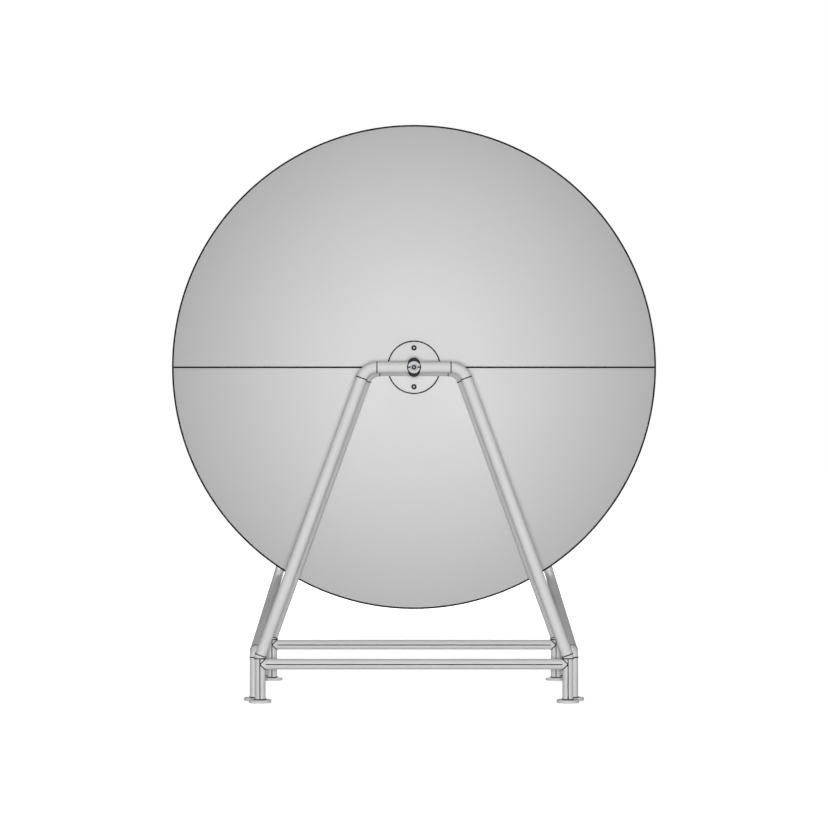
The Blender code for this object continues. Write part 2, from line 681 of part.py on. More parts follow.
def make_dish(drills):
    """Two half shells that meet along the level seam, with bolted flanges behind it."""
    reach = 2 * DISH_RADIUS
    far = 2 * SEAM_FLANGE_THICKNESS
    bolt_holes = []
    for i, (x, y) in enumerate(seam_bolt_places(), 1):
        hole = rod_mesh("seam_drill", SEAM_BOLT_RADIUS + GAP, -far, far, 'Z', DRILL_SIDES)
        hole = add_cutter(f"seam_drill_{i}", hole, (x, y, AXLE_HEIGHT), True)
        hole.rotation_euler = (0, 0, math.pi / DRILL_SIDES)    # corners off the flange's edges
        bolt_holes.append(hole)
    for name, sign in (("upper", 1), ("lower", -1)):
        low, high = sorted((sign * SEAM_GAP / 2, sign * reach))
        keep = box_mesh("dish_keep_" + name, (-reach, -reach, low), (reach, reach, high))
        keep = add_cutter("dish_keep_" + name, keep, (0, DISH_Y, AXLE_HEIGHT), True)
        low, high = sorted((sign * SEAM_GAP / 2, sign * (SEAM_GAP / 2 + SEAM_FLANGE_THICKNESS)))
        slab = box_mesh("seam_slab_" + name, (-reach, -reach, low), (reach, reach, high))
        slab = add_cutter("seam_slab_" + name, slab, (0, DISH_Y, AXLE_HEIGHT), True)
        flange = turned_tool("seam_flange_" + name, seam_profile(), DISH_Y)
        combine(flange, slab, 'INTERSECT')
        half = turned_part("dish_" + name, dish_profile(), DISH_Y, DISH_PAINT, DISH_STEPS)
        combine(half, keep, 'INTERSECT')
        combine(half, flange, 'UNION')
        for hole in bolt_holes + drills:
            combine(half, hole, 'DIFFERENCE')
    stack = 2 * SEAM_FLANGE_THICKNESS + SEAM_GAP + GAP
    bolt = bolt_mesh("seam_bolt", SEAM_BOLT_FLATS, SEAM_BOLT_HEAD, SEAM_BOLT_RADIUS,
                     stack + SEAM_BOLT_HEAD, 'Z')
    under = AXLE_HEIGHT - SEAM_GAP / 2 - SEAM_FLANGE_THICKNESS - GAP
    for i, (x, y) in enumerate(seam_bolt_places(), 1):
        add_part(f"seam_bolt_{i}", bolt, FASTENER, (x, y, under), True)


def seam_bolt_places():
    """Points along the seam flange, halfway between the wall and its free edge."""
    for sign in (-1, 1):
        for inset in SEAM_BOLTS_FROM_RIM:
            radius = DISH_RADIUS - inset
            depth = cap_height(radius) + (DISH_SHELL + SEAM_FLANGE_DEPTH) / 2
            yield sign * radius, DISH_Y + depth


def make_feed():
    """Feed tube bolted behind the hub, with a cup at the focus of the dish."""
    mast = [
        (FEED_TUBE_RADIUS, FEED_FLANGE + FEED_LENGTH),
        (FEED_TUBE_RADIUS, FEED_FLANGE),
        (FEED_FLANGE_RADIUS, FEED_FLANGE),
        (FEED_FLANGE_RADIUS, 0),
        (FEED_BORE_RADIUS, 0),
        (FEED_BORE_RADIUS, FEED_FLANGE + FEED_LENGTH),
    ]
    turned_part("feed_mast", mast, FRONT_HOOP_Y + FEED_FRONT, ALUMINIUM)
    inner = FEED_CUP_RADIUS - FEED_CUP_WALL
    cup = [
        (FEED_CUP_RADIUS, FEED_CUP_DEPTH),
        (FEED_CUP_RADIUS, 0),
        (inner, 0),
        (inner, FEED_CUP_DEPTH - FEED_CUP_FLOOR),
        (FEED_BORE_RADIUS, FEED_CUP_DEPTH - FEED_CUP_FLOOR),
        (FEED_BORE_RADIUS, FEED_CUP_DEPTH),
    ]
    turned_part("feed_cup", cup, FRONT_HOOP_Y + CUP_FRONT, ALUMINIUM)


def hub_drills():
    """Clearance holes for the hub bolts, through both plates and the dish."""
    drills = []
    for i, (x, z) in enumerate(hub_bolt_places(), 1):
        drill = rod_mesh("hub_drill", HUB_BOLT_RADIUS + GAP, -HUB_PLATE, 4 * HUB_PLATE,
                         'Y', DRILL_SIDES)
        place = (x, FRONT_HOOP_Y + HUB_FRONT, z)
        drill = add_cutter(f"hub_drill_{i}", drill, place, True)
        drill.rotation_euler = (0, math.pi / DRILL_SIDES, 0)    # corners off the dish's edges
        drills.append(drill)
    return drills


make_stand()
make_brace()
make_steadies()
make_bearings()
make_axle()
through_holes = hub_drills()
make_hub(through_holes)
make_dish(through_holes)
make_feed()
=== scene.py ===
# %% [markdown]
# # A two-metre dish antenna on a tube stand
# The imported solids are loaded first and stay fixed. They are faceted, so each is replaced here
# by a smooth piece of the same size, in the same place. Sizes are in metres. The box of the
# solids is kept, to be printed beside the box of the finished model at the end.

# %% Load the imported model
import json
import math

import bmesh
import bpy
from mathutils import Matrix, Vector


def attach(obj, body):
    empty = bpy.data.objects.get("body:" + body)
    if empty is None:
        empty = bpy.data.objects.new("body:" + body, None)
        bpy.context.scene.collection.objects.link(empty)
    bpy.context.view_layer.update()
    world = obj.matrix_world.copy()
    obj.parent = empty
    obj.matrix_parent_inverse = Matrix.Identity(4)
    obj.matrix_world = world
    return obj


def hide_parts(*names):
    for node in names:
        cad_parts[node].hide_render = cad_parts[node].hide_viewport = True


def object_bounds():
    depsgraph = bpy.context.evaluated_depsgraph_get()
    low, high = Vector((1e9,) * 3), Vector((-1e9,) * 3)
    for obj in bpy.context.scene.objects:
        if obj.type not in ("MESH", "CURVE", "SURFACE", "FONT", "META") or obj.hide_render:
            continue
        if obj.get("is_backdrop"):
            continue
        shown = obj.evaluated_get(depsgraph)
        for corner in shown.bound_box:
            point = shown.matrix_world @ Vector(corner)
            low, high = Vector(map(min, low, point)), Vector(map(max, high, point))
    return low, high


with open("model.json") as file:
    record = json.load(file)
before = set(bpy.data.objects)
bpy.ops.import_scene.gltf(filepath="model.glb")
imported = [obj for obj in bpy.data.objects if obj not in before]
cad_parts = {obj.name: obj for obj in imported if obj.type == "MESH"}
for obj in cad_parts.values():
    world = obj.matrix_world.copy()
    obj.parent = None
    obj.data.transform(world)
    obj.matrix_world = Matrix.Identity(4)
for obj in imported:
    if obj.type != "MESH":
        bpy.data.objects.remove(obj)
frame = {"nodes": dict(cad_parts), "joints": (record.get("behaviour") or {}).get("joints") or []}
cad_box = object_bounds()
roll = frame["joints"][0]
FRONT_Y, AXLE_Z = roll["pos_m"][1:]          # the axle's line, in the middle of the front hoop
TILT = math.atan2(roll["axis"][2], roll["axis"][1])
print("loaded", len(frame["nodes"]), "solids; axle rises", round(math.degrees(TILT), 2), "degrees")

# %% [markdown]
# ## Camera
# The picture looks level and straight ahead, from ten metres in front of the front hoop. That
# distance follows from how much smaller the rear hoop looks. The eye is a little lower than
# the axle, as the rear top bar shows just below the front one.

# %% Level camera with a long lens
CAMERA_DISTANCE = 10.284     # from the front hoop
EYE_Z = 1.0757
eye = bpy.data.objects.new("camera", bpy.data.cameras.new("camera"))
bpy.context.scene.collection.objects.link(eye)
eye.location = (0, FRONT_Y - CAMERA_DISTANCE, EYE_Z)
eye.rotation_euler = (math.pi / 2, 0, 0)
eye.data.sensor_width = 36
eye.data.lens = 119.95
eye.data.clip_end = 200
bpy.context.scene.camera = eye
bpy.context.scene.view_settings.view_transform = 'Standard'
print("camera", tuple(round(c, 3) for c in eye.location))

# %% [markdown]
# ## Materials
# Colours are picked as they look on a screen, so one function turns a hex value to the linear
# numbers that shaders use. One more adds a node with its settings and links. Every finish
# starts from a Principled shader and Object coordinates, which are real metres here, and ends
# with a colour, a roughness and a fine relief.

# %% Colour and node tools
def linear(code):
    """Screen colour, such as #D5D5D5, as the linear colour of a shader."""
    parts = [int(code[i:i + 2], 16) / 255 for i in (1, 3, 5)]
    return tuple(c / 12.92 if c < 0.04045 else ((c + 0.055) / 1.055) ** 2.4 for c in parts) + (1.0,)


def add_node(tree, kind, sockets=None, **settings):
    """Add one node, with its settings, socket values and incoming links."""
    node = tree.nodes.new("ShaderNode" + kind)
    for name, value in settings.items():
        setattr(node, name, value)
    for name, value in (sockets or {}).items():
        if isinstance(value, bpy.types.NodeSocket):
            tree.links.new(value, node.inputs[name])
        else:
            node.inputs[name].default_value = value
    return node


print("pale grey in linear light:", round(linear("#D5D5D5")[0], 3))

# %% Start and end of every finish
def start_finish(name, **values):
    """New material with a Principled shader; returns it with its tree, shader and coordinates."""
    material = bpy.data.materials.new(name)
    material.use_nodes = True
    tree = material.node_tree
    tree.nodes.clear()
    shader = add_node(tree, "BsdfPrincipled", {key.replace("_", " "): v for key, v in values.items()})
    add_node(tree, "OutputMaterial", {"Surface": shader.outputs[0]})
    return material, tree, shader, add_node(tree, "TexCoord").outputs["Object"]


def end_finish(tree, shader, tint, gloss, relief, strength, height):
    """Give a shader its colour, its roughness and a fine relief of some height."""
    tree.links.new(tint.outputs["Result"], shader.inputs["Base Color"])
    tree.links.new(gloss.outputs["Result"], shader.inputs["Roughness"])
    bump = add_node(tree, "Bump", {"Height": relief, "Strength": strength, "Distance": height})
    tree.links.new(bump.outputs["Normal"], shader.inputs["Normal"])


def per_metre(millimetres):
    """Noise scale whose blotches are about this wide."""
    return 1000 / millimetres


print("a 4 mm pattern has a scale of", per_metre(4))

# %% [markdown]
# ### Paint and coating
# The stand has a light grey powder coat: thick, satin, with a fine orange peel. Real peel is
# about 2 mm wide, too fine for this picture, so it is drawn at 4 mm. A flat grey would do from
# afar, but a slow cloud in the colour keeps long tubes from looking like plastic.

# %% Powder coat on steel
def powder_coat(name, light, dark):
    """Satin coat: a broad soft highlight and no sharp reflections."""
    finish, tree, shader, place = start_finish(name, Specular_IOR_Level=0.06)
    cloud = add_node(tree, "TexNoise", {"Vector": place, "Scale": per_metre(180), "Detail": 3.0})
    peel = add_node(tree, "TexNoise", {"Vector": place, "Scale": per_metre(4), "Detail": 2.0})
    tint = add_node(tree, "Mix", {"Factor": cloud.outputs["Fac"], "A": linear(dark),
                                  "B": linear(light)}, data_type='RGBA')
    satin = add_node(tree, "MapRange", {"Value": peel.outputs["Fac"], "To Min": 0.5, "To Max": 0.62})
    end_finish(tree, shader, tint, satin, peel.outputs["Fac"], 0.18, 0.0004)
    return finish


TUBE_COAT = powder_coat("powder_coated_steel_tube", "#CACACA", "#C3C3C3")
PLATE_COAT = powder_coat("powder_coated_steel_plate", "#D8D8D8", "#D1D1D1")
print("coats:", TUBE_COAT.name, PLATE_COAT.name)

# %% [markdown]
# The dish is sprayed matt over a spun sheet, and faint rings from the spinning tool still show
# through in low light. A Mapping node moves the pattern's centre to the axle and leans it with
# the dish. The paint greys a little towards the rim: that is painted shade, for the light falling
# off across the curve.

# %% Matt paint on spun aluminium
RING_WIDTH = 0.014           # real tool marks are under 1 mm: drawn coarse enough to show
# painted shade: between these radii the paint greys towards the rim
RIM_SHADE_FROM, RIM_SHADE_TO = 0.25, 1.0       # metres from the axle


def dish_paint():
    """Matt: light falls off slowly, with hardly a highlight; painted shade greys it towards the rim."""
    finish, tree, shader, place = start_finish("matt_paint_on_spun_aluminium", Specular_IOR_Level=0.06)
    level = Matrix.Rotation(-TILT, 3, 'X') @ Vector((0, FRONT_Y, AXLE_Z))
    about_axle = add_node(tree, "Mapping", {"Vector": place, "Location": -level,
                                            "Rotation": (-TILT, 0, 0)}).outputs[0]
    rings = add_node(tree, "TexWave", {"Vector": about_axle, "Scale": math.pi / 10 / RING_WIDTH,
                                       "Distortion": 0.6, "Detail": 2.0, "Detail Scale": 1.5},
                     wave_type='RINGS', rings_direction='Y').outputs["Fac"]
    cloud = add_node(tree, "TexNoise", {"Vector": place, "Scale": per_metre(420), "Detail": 4.0})
    unshaded_tint = add_node(tree, "Mix", {"Factor": cloud.outputs["Fac"], "A": linear("#D3D3D3"),
                                   "B": linear("#D9D9D9")}, data_type='RGBA')
    off_axle = add_node(tree, "VectorMath", {0: about_axle, 1: (1, 0, 1)}, operation='MULTIPLY')
    radius = add_node(tree, "VectorMath", {0: off_axle.outputs[0]}, operation='LENGTH')
    # painted shade: the colour darkens with distance from the axle
    rim_shade = add_node(tree, "MapRange", {"Value": radius.outputs["Value"], "From Min": RIM_SHADE_FROM,
                                       "From Max": RIM_SHADE_TO})
    tint = add_node(tree, "Mix", {"Factor": rim_shade.outputs["Result"], "A": unshaded_tint.outputs["Result"],
                                  "B": linear("#C4C4C4")}, data_type='RGBA')
    matt = add_node(tree, "MapRange", {"Value": rings, "To Min": 0.6, "To Max": 0.68})
    grit = add_node(tree, "TexNoise", {"Vector": place, "Scale": per_metre(5), "Detail": 2.0})
    relief = add_node(tree, "Mix", {"Factor": 0.75, "A": grit.outputs["Fac"], "B": rings})
    end_finish(tree, shader, tint, matt, relief.outputs["Result"], 0.12, 0.0003)
    return finish


DISH_PAINT = dish_paint()
print("paint:", DISH_PAINT.name)

# %% [markdown]
# ### Metals and rubber
# Zinc on the bolts is a thin, dull, slightly cloudy plate. Welds are left bare and keep
# their dark scale. The saddle plates are near-black: painted shade, for the dark faces round the
# bearing, and the black end bolt shares that finish. The bushes are turned bearing
# bronze and the feed is turned aluminium with a clear anodised skin. The pads, seals and edge
# trims are black rubber with a dusty bloom. All of them are one colour with marks of some
# width that are a little lighter and rougher, so one function makes them all.

# %% Zinc, dark steel, bronze, anodised aluminium and rubber
def mottled(name, light, dark, low, high, mark_mm, detail=4.0, strength=0.1, height=0.0002, **values):
    """Cloudy tint with smooth and rough patches of one width; a metal if no values are given."""
    finish, tree, shader, place = start_finish(name, **(values or {"Metallic": 1.0}))
    marks = add_node(tree, "TexNoise", {"Vector": place, "Scale": per_metre(mark_mm),
                                        "Detail": detail}).outputs["Fac"]
    tint = add_node(tree, "Mix", {"Factor": marks, "A": linear(dark), "B": linear(light)},
                    data_type='RGBA')
    gloss = add_node(tree, "MapRange", {"Value": marks, "To Min": low, "To Max": high})
    end_finish(tree, shader, tint, gloss, marks, strength, height)
    return finish


# Dull grey with soft glints; near-black scale; black with a grey sheen, which on the saddles is painted
# shade.
ZINC = mottled("zinc_plated_steel", "#8F9193", "#7D7F81", 0.58, 0.68, 6)
BARE_WELD = mottled("dark_bare_weld", "#302F2E", "#201F1E", 0.5, 0.65, 2)
# on the saddle plates this black is painted shade, for the dark faces round the bearing
BLACK_STEEL_AND_SHADE = mottled("oil_blackened_steel", "#262626", "#1A1A1A", 0.48, 0.6, 4)
# Bright but blurred reflections; the same in warm brown; pale and silky; no shine at all.
AXLE_STEEL = mottled("ground_bright_steel", "#A9A9A8", "#969695", 0.46, 0.56, 3)
BRONZE = mottled("turned_bearing_bronze", "#B0935E", "#947746", 0.45, 0.56, 3)
ANODISED = mottled("clear_anodised_aluminium", "#B2B3B5", "#A5A6A8", 0.54, 0.64, 5)
RUBBER = mottled("black_epdm_rubber", "#1E1E1D", "#101010", 0.7, 0.85, 9, 5.0, 0.2, 0.0003,
                 Specular_IOR_Level=0.12)
print("finishes:", [finish.name for finish in bpy.data.materials])

# %% [markdown]
# ## Mesh tools
# A turned part is an outline spun about its axis, as on a lathe. A Screw modifier would do the
# same, but a bmesh spin gives a closed mesh that can be cut and drilled at once. Pieces on the
# axle are made level and then leaned with it, about the middle of the front hoop.

# %% Turned shapes, bars and soft edges
ALONG_Y = Matrix.Rotation(-math.pi / 2, 4, 'X')
ALONG_Z = Matrix.Identity(4)
TOUCHING = 0.000001          # corners that are closer than this are one
bush_middle = Matrix.Translation((0, FRONT_Y, AXLE_Z))
LEAN = bush_middle @ Matrix.Rotation(TILT, 4, 'X') @ bush_middle.inverted()


def at(x, y, z, along=ALONG_Y):
    """Place for a shape whose own Z axis is to run along Y, or another way."""
    return Matrix.Translation((x, y, z)) @ along


def leaned(shape):
    """Tip a level shape up with the axle."""
    bmesh.ops.transform(shape, matrix=LEAN, verts=shape.verts)
    return shape


def turned(section, place, steps=72):
    """Spin a closed (radius, height) outline about Z and put it in place."""
    shape = bmesh.new()
    corners = [shape.verts.new((radius, 0, height)) for radius, height in section]
    rim = [shape.edges.new(pair) for pair in zip(corners, corners[1:] + corners[:1])]
    bmesh.ops.spin(shape, geom=corners + rim, cent=(0, 0, 0), axis=(0, 0, 1), angle=math.tau,
                   steps=steps, use_merge=True)
    bmesh.ops.remove_doubles(shape, verts=shape.verts, dist=TOUCHING)
    bmesh.ops.recalc_face_normals(shape, faces=shape.faces)
    bmesh.ops.transform(shape, matrix=place, verts=shape.verts)
    return shape


def ring(outer, inner, start, end):
    """Outline of a washer or disc, to be turned."""
    return [(outer, start), (outer, end), (inner, end), (inner, start)]


def bar(sides, radius, start, end, place):
    """Solid prism along Z, put in place."""
    shape = bmesh.new()
    middle = Matrix.Translation((0, 0, (start + end) / 2))
    bmesh.ops.create_cone(shape, cap_ends=True, segments=sides, radius1=radius, radius2=radius,
                          depth=end - start, matrix=place @ middle)
    return shape


def soften(shape, offset, segments=2, sharper_than=50):
    """Round off every edge that is sharper than an angle, by an offset in metres."""
    sharp = [edge for edge in shape.edges
             if edge.is_manifold and edge.calc_face_angle() > math.radians(sharper_than)]
    bmesh.ops.bevel(shape, geom=sharp, offset=offset, segments=segments, profile=0.5,
                    affect='EDGES', material=-1)
    return shape


lift = (LEAN @ Vector((0, 1, 0)) - LEAN @ Vector()).z
print("the lean lifts a point 1 m along the axle by", round(lift, 4), "m")

# %% [markdown]
# Holes are drilled with a Boolean modifier, which gives clean walls where two round shapes
# cross. Its result is read back at once, so that it can be softened and copied. The last tool
# turns a finished bmesh into a piece, shades it, and ties it to its body and its solids.

# %% Drilling, joining and finishing a piece
CREASE = math.radians(32)    # edges that turn further than this stay sharp


def as_mesh(shape, name):
    """Write a bmesh to a new mesh and free it."""
    mesh = bpy.data.meshes.new(name)
    shape.to_mesh(mesh)
    shape.free()
    return mesh


def joined(shapes):
    """All the closed shells of some shapes, in one bmesh."""
    whole = bmesh.new()
    for shape in shapes:
        mesh = as_mesh(shape, "joined")
        whole.from_mesh(mesh)
        bpy.data.meshes.remove(mesh)
    return whole


def drilled(shape, drills):
    """Take the drills out of a shape."""
    blank = bpy.data.objects.new("blank", as_mesh(shape, "blank"))
    tool = bpy.data.objects.new("drills", as_mesh(joined(drills), "drills"))
    for helper in (blank, tool):
        bpy.context.scene.collection.objects.link(helper)
    cut = blank.modifiers.new("cut", 'BOOLEAN')
    cut.operation, cut.object = 'DIFFERENCE', tool
    graph = bpy.context.evaluated_depsgraph_get()
    result = bmesh.new()
    result.from_mesh(blank.evaluated_get(graph).to_mesh())
    for helper in (blank, tool):
        bpy.data.meshes.remove(helper.data)
    return result


def through(radius, place, sides=32):
    """Drill that is longer than any wall here."""
    return bar(sides, radius, -0.05, 0.05, place)


def finish_piece(shape, name, finish, body, slot, *nodes):
    """Turn a bmesh into a shaded piece that rides on a body and stands for some solids."""
    if body == "rotor":
        leaned(shape)
    piece = bpy.data.objects.new(name, as_mesh(shape, name))
    bpy.context.scene.collection.objects.link(piece)
    piece.data.materials.append(finish)
    piece.data.shade_smooth()
    piece.data.set_sharp_from_angle(angle=CREASE)
    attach(piece, body)
    if nodes:
        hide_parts(*nodes)
    return piece


print("edges up to", round(math.degrees(CREASE)), "degrees are shaded smooth")

# %% [markdown]
# A bent tube is a circle that is pushed along each straight run and spun round each bend, as a
# bending machine does it. A bevelled curve is quicker to draw, but its section flattens at a
# corner, and here every bend keeps a true radius.

# %% Bent tubes
BEND_STEP = math.radians(4)


def only(kind, items):
    """The items of one kind, such as edges."""
    return [item for item in items if isinstance(item, kind)]


def pushed(shape, rim, step):
    """Extrude an open rim by a step and return the new rim."""
    made = bmesh.ops.extrude_edge_only(shape, edges=rim)["geom"]
    moved = set(only(bmesh.types.BMVert, made))
    bmesh.ops.translate(shape, verts=list(moved), vec=step)
    return [edge for edge in only(bmesh.types.BMEdge, made) if moved.issuperset(edge.verts)]


def bent_tube(corners, bends, radius, sides=40):
    """A circle pushed along straight runs and spun round each bend."""
    corners = [Vector(corner) for corner in corners]
    shape = bmesh.new()
    facing = (corners[1] - corners[0]).to_track_quat('Z', 'Y').to_matrix().to_4x4()
    bmesh.ops.create_circle(shape, segments=sides, radius=radius,
                            matrix=Matrix.Translation(corners[0]) @ facing)
    rim, here = list(shape.edges), corners[0]
    for before, corner, after, bend in zip(corners, corners[1:], corners[2:], bends):
        back, ahead = (before - corner).normalized(), (after - corner).normalized()
        half = back.angle(ahead) / 2
        reach = bend / math.tan(half)
        start = corner + back * reach
        centre = corner + (back + ahead).normalized() * (bend / math.sin(half))
        sweep = math.pi - 2 * half
        rim = pushed(shape, rim, start - here)
        ends = list({vert for edge in rim for vert in edge.verts})
        spun = bmesh.ops.spin(shape, geom=ends + rim, cent=centre, axis=back.cross(start - centre),
                              angle=sweep, steps=max(4, round(sweep / BEND_STEP)))
        rim, here = only(bmesh.types.BMEdge, spun["geom_last"]), corner + ahead * reach
    pushed(shape, rim, corners[-1] - here)
    bmesh.ops.holes_fill(shape, edges=[edge for edge in shape.edges if edge.is_boundary], sides=0)
    bmesh.ops.recalc_face_normals(shape, faces=shape.faces)
    return shape


def both_sides(half):
    """Corners of the right side, then those of the left side on the way back."""
    return half + [(-x, y, z) for x, y, z in reversed(half)]


print("a bend of 90 degrees takes", round(math.pi / 2 / BEND_STEP), "steps")

# %% [markdown]
# ## Hoops
# Each end of the stand is one bent tube: a sloping leg, the top bar and another leg, with both
# ends turned straight down. The bar is drilled for the bush. A slimmer post stands under each
# end, on its foot. Neighbours keep a hair of a gap, so that no two faces lie in one place.

# %% Front and rear hoops and their posts
TUBE = 0.0212                # outer radius of the hoop's tube
POST = 0.0200                # outer radius of posts, rails, brace and stays
GAP = 0.0003
FOOT_THICKNESS = 0.011
FOOT_TOP = FOOT_THICKNESS + GAP
POST_X = 0.5733
KNEE_Z = 0.1728
BAR_X = 0.1806
KNEE_BEND, TOP_BEND = 0.025, 0.061
STRAIGHT_END = 0.003         # of the hoop, below its bend
LEG_LEAN = math.atan2(POST_X - BAR_X, AXLE_Z - KNEE_Z)
HOOP_END = KNEE_Z - KNEE_BEND * math.tan(LEG_LEAN / 2) - STRAIGHT_END
BUSH_RADIUS = 0.016
HOOP_SPACING = 0.870
REAR_Y = FRONT_Y + HOOP_SPACING
HOOPS = (("front", FRONT_Y), ("rear", REAR_Y))
SIDES = (("left", -1), ("right", 1))
for name, y in HOOPS:
    corners = both_sides([(POST_X, y, HOOP_END), (POST_X, y, KNEE_Z), (BAR_X, y, AXLE_Z)])
    hoop = bent_tube(corners, (KNEE_BEND, TOP_BEND, TOP_BEND, KNEE_BEND), TUBE)
    hoop = drilled(hoop, [through(BUSH_RADIUS + GAP, LEAN @ at(0, y, AXLE_Z), 48)])
    hoop = finish_piece(hoop, name + "_bent_hoop", TUBE_COAT, "stand", "stand_tube", name + "_hoop")
    for side, sign in SIDES:
        post = bar(48, POST, FOOT_TOP, HOOP_END - GAP, at(sign * POST_X, y, 0, ALONG_Z))
        node = "_".join((name, side, "post"))
        finish_piece(post, node + "_tube", TUBE_COAT, "stand", "stand_tube", node)
    print(hoop.name, [round(c, 4) for c in hoop.dimensions])

# %% [markdown]
# ## Rails
# A straight tube ties the two posts of each hoop just below the bend. Its ends are coped: cut
# to the round of the post, so that they fit against it for welding. A Boolean would leave long
# thin faces there, so the end ring is slid along to where the post's surface is.

# %% Coped cross rails
RAIL_BELOW_HOOP = 0.002
RAIL_Z = HOOP_END - RAIL_BELOW_HOOP - POST
for name, y in HOOPS:
    rail = bent_tube([(-POST_X, y, RAIL_Z), (POST_X, y, RAIL_Z)], (), POST, 64)
    for vert in rail.verts:
        inset = math.sqrt(max(0.0, (POST + GAP) ** 2 - (vert.co.y - y) ** 2))
        vert.co.x -= math.copysign(inset, vert.co.x)
    rail = finish_piece(rail, name + "_coped_rail", TUBE_COAT, "stand", "stand_tube", name + "_rail")
    print(rail.name, [round(c, 4) for c in rail.dimensions])

# %% [markdown]
# ## Feet
# Eight round base plates, all alike, each with four anchor holes. Each could be made on its
# own, but drilling is the slow step, so one is turned, drilled and softened, then copied.

# %% Base plates
FOOT_RADIUS = 0.0415
PIN_HOLE = 0.0009            # in the middle, under the post
ANCHOR_CIRCLE, ANCHOR_HOLE = 0.032, 0.0045
BRACE_X = 0.597
BRACE_FOOT_BEHIND = 0.083    # from a hoop to the foot of its brace or stay


def four_round(radius, first):
    """Four spots on a circle, a quarter turn apart, from a first angle in degrees."""
    turns = [math.radians(first + 90 * i) for i in range(4)]
    return [(radius * math.cos(turn), radius * math.sin(turn)) for turn in turns]


plate = turned(ring(FOOT_RADIUS, PIN_HOLE, 0, FOOT_THICKNESS), ALONG_Z)
drills = [through(ANCHOR_HOLE, at(x, y, 0, ALONG_Z)) for x, y in four_round(ANCHOR_CIRCLE, 45)]
plate = as_mesh(soften(drilled(plate, drills), 0.0008), "base_plate")
for name, y in HOOPS:
    for side, sign in SIDES:
        for kind, x, behind in (("foot", POST_X, 0), ("brace_foot", BRACE_X, BRACE_FOOT_BEHIND)):
            foot = bmesh.new()
            foot.from_mesh(plate)
            bmesh.ops.translate(foot, verts=foot.verts, vec=(sign * x, y + behind, 0))
            node = "_".join((name, side, kind))
            finish_piece(foot, node + "_plate", TUBE_COAT, "stand", "stand_tube", node)
print("8 base plates of", len(plate.polygons), "faces each")

# %% [markdown]
# ## Setting out along the axle
# The brace has to pass behind the dish, so the lengths along the axle are worked out first, in
# the order in which the pieces are threaded on: saddle, bush, washer, hub, dish, backing plate.
# The dish is a cap of a sphere with a flat seat for the hub.

# %% Lengths along the axle and depth of the dish
SADDLE, BUSH_FLANGE, WASHER = 0.006, 0.004, 0.0025       # thickness of each
HUB_PLATE, SHELL, BACKING_PLATE = 0.010, 0.004, 0.008
SADDLE_IN = TUBE + GAP                                   # from the middle of a hoop
SADDLE_OUT = SADDLE_IN + SADDLE
FLANGE_IN = SADDLE_OUT + GAP
FLANGE_OUT = FLANGE_IN + BUSH_FLANGE
WASHER_IN = FLANGE_OUT + GAP
WASHER_OUT = WASHER_IN + WASHER
HUB_FRONT = REAR_Y + WASHER_OUT + GAP                    # on the line of the axle
DISH_Y = HUB_FRONT + HUB_PLATE + GAP
BACKING_Y = DISH_Y + SHELL + GAP
BACKING_END = BACKING_Y + BACKING_PLATE
DISH_RADIUS = 1.010
CURVATURE = 1.760            # radius of the sphere
FLAT = 0.116                 # radius of the seat
SEAT = math.sqrt(CURVATURE ** 2 - FLAT ** 2)


def depth(radius):
    """Depth of the outer face behind the flat seat of the hub."""
    return SEAT - math.sqrt(CURVATURE ** 2 - max(radius, FLAT) ** 2)


rim_front = depth(DISH_RADIUS)
rim_back = rim_front + SHELL
print("dish is", round(rim_back, 4), "m deep and starts at", round(DISH_Y, 4))

# %% [markdown]
# ## Brace and stays
# A tube starts at its own feet beside the front posts, runs back under the rim and crosses
# behind the dish, where it carries two pads. A short stay on each side holds up its back end
# from the rear feet. The corner of the cross bar is set out level and leaned with the axle.

# %% Low brace behind the dish
PAD_INSET = 0.030            # from the edge of the dish to the middle of a pad
PAD_ANGLE = math.radians(31.8)       # of the pads, from straight down
PAD_X = (DISH_RADIUS - PAD_INSET) * math.sin(PAD_ANGLE)
PAD_Z = AXLE_Z - (DISH_RADIUS - PAD_INSET) * math.cos(PAD_ANGLE)
CROSS_BEHIND_RIM = 0.235
CROSS_Y = DISH_Y + rim_back + CROSS_BEHIND_RIM       # before it is leaned
PAD_TO_CORNER = 0.0475
CROSS_BEND = 0.030
BRACE_KNEE_Z = 0.183
STAY_FROM_CORNER = 0.360
STAY_BITE = 0.3 * POST       # the end of a stay goes this far into the brace
cross = LEAN @ Vector((PAD_X + PAD_TO_CORNER, CROSS_Y, PAD_Z))
brace_foot = Vector((BRACE_X, FRONT_Y + BRACE_FOOT_BEHIND, FOOT_TOP))
brace_knee = Vector((BRACE_X, brace_foot.y, BRACE_KNEE_Z))
brace = bent_tube(both_sides([brace_foot, brace_knee, cross]),
                  (KNEE_BEND, CROSS_BEND, CROSS_BEND, KNEE_BEND), POST)
finish_piece(brace, "bent_rear_brace", TUBE_COAT, "stand", "stand_tube", "rear_brace")
stay_top = brace_knee.lerp(cross, 1 - STAY_FROM_CORNER / (cross.y - brace_knee.y))
stay_foot = Vector((BRACE_X, REAR_Y + BRACE_FOOT_BEHIND, FOOT_TOP))
stay_knee = Vector((BRACE_X, stay_foot.y, BRACE_KNEE_Z))
stay_end = stay_top + (stay_knee - stay_top).normalized() * STAY_BITE
for side, sign in SIDES:
    flip = Vector((sign, 1, 1))
    stay = bent_tube([stay_foot * flip, stay_knee * flip, stay_end * flip], (KNEE_BEND,), POST)
    finish_piece(stay, side + "_bent_stay", TUBE_COAT, "stand", "stand_tube", side + "_stay")
print("stays meet the brace at", [round(c, 3) for c in stay_top])

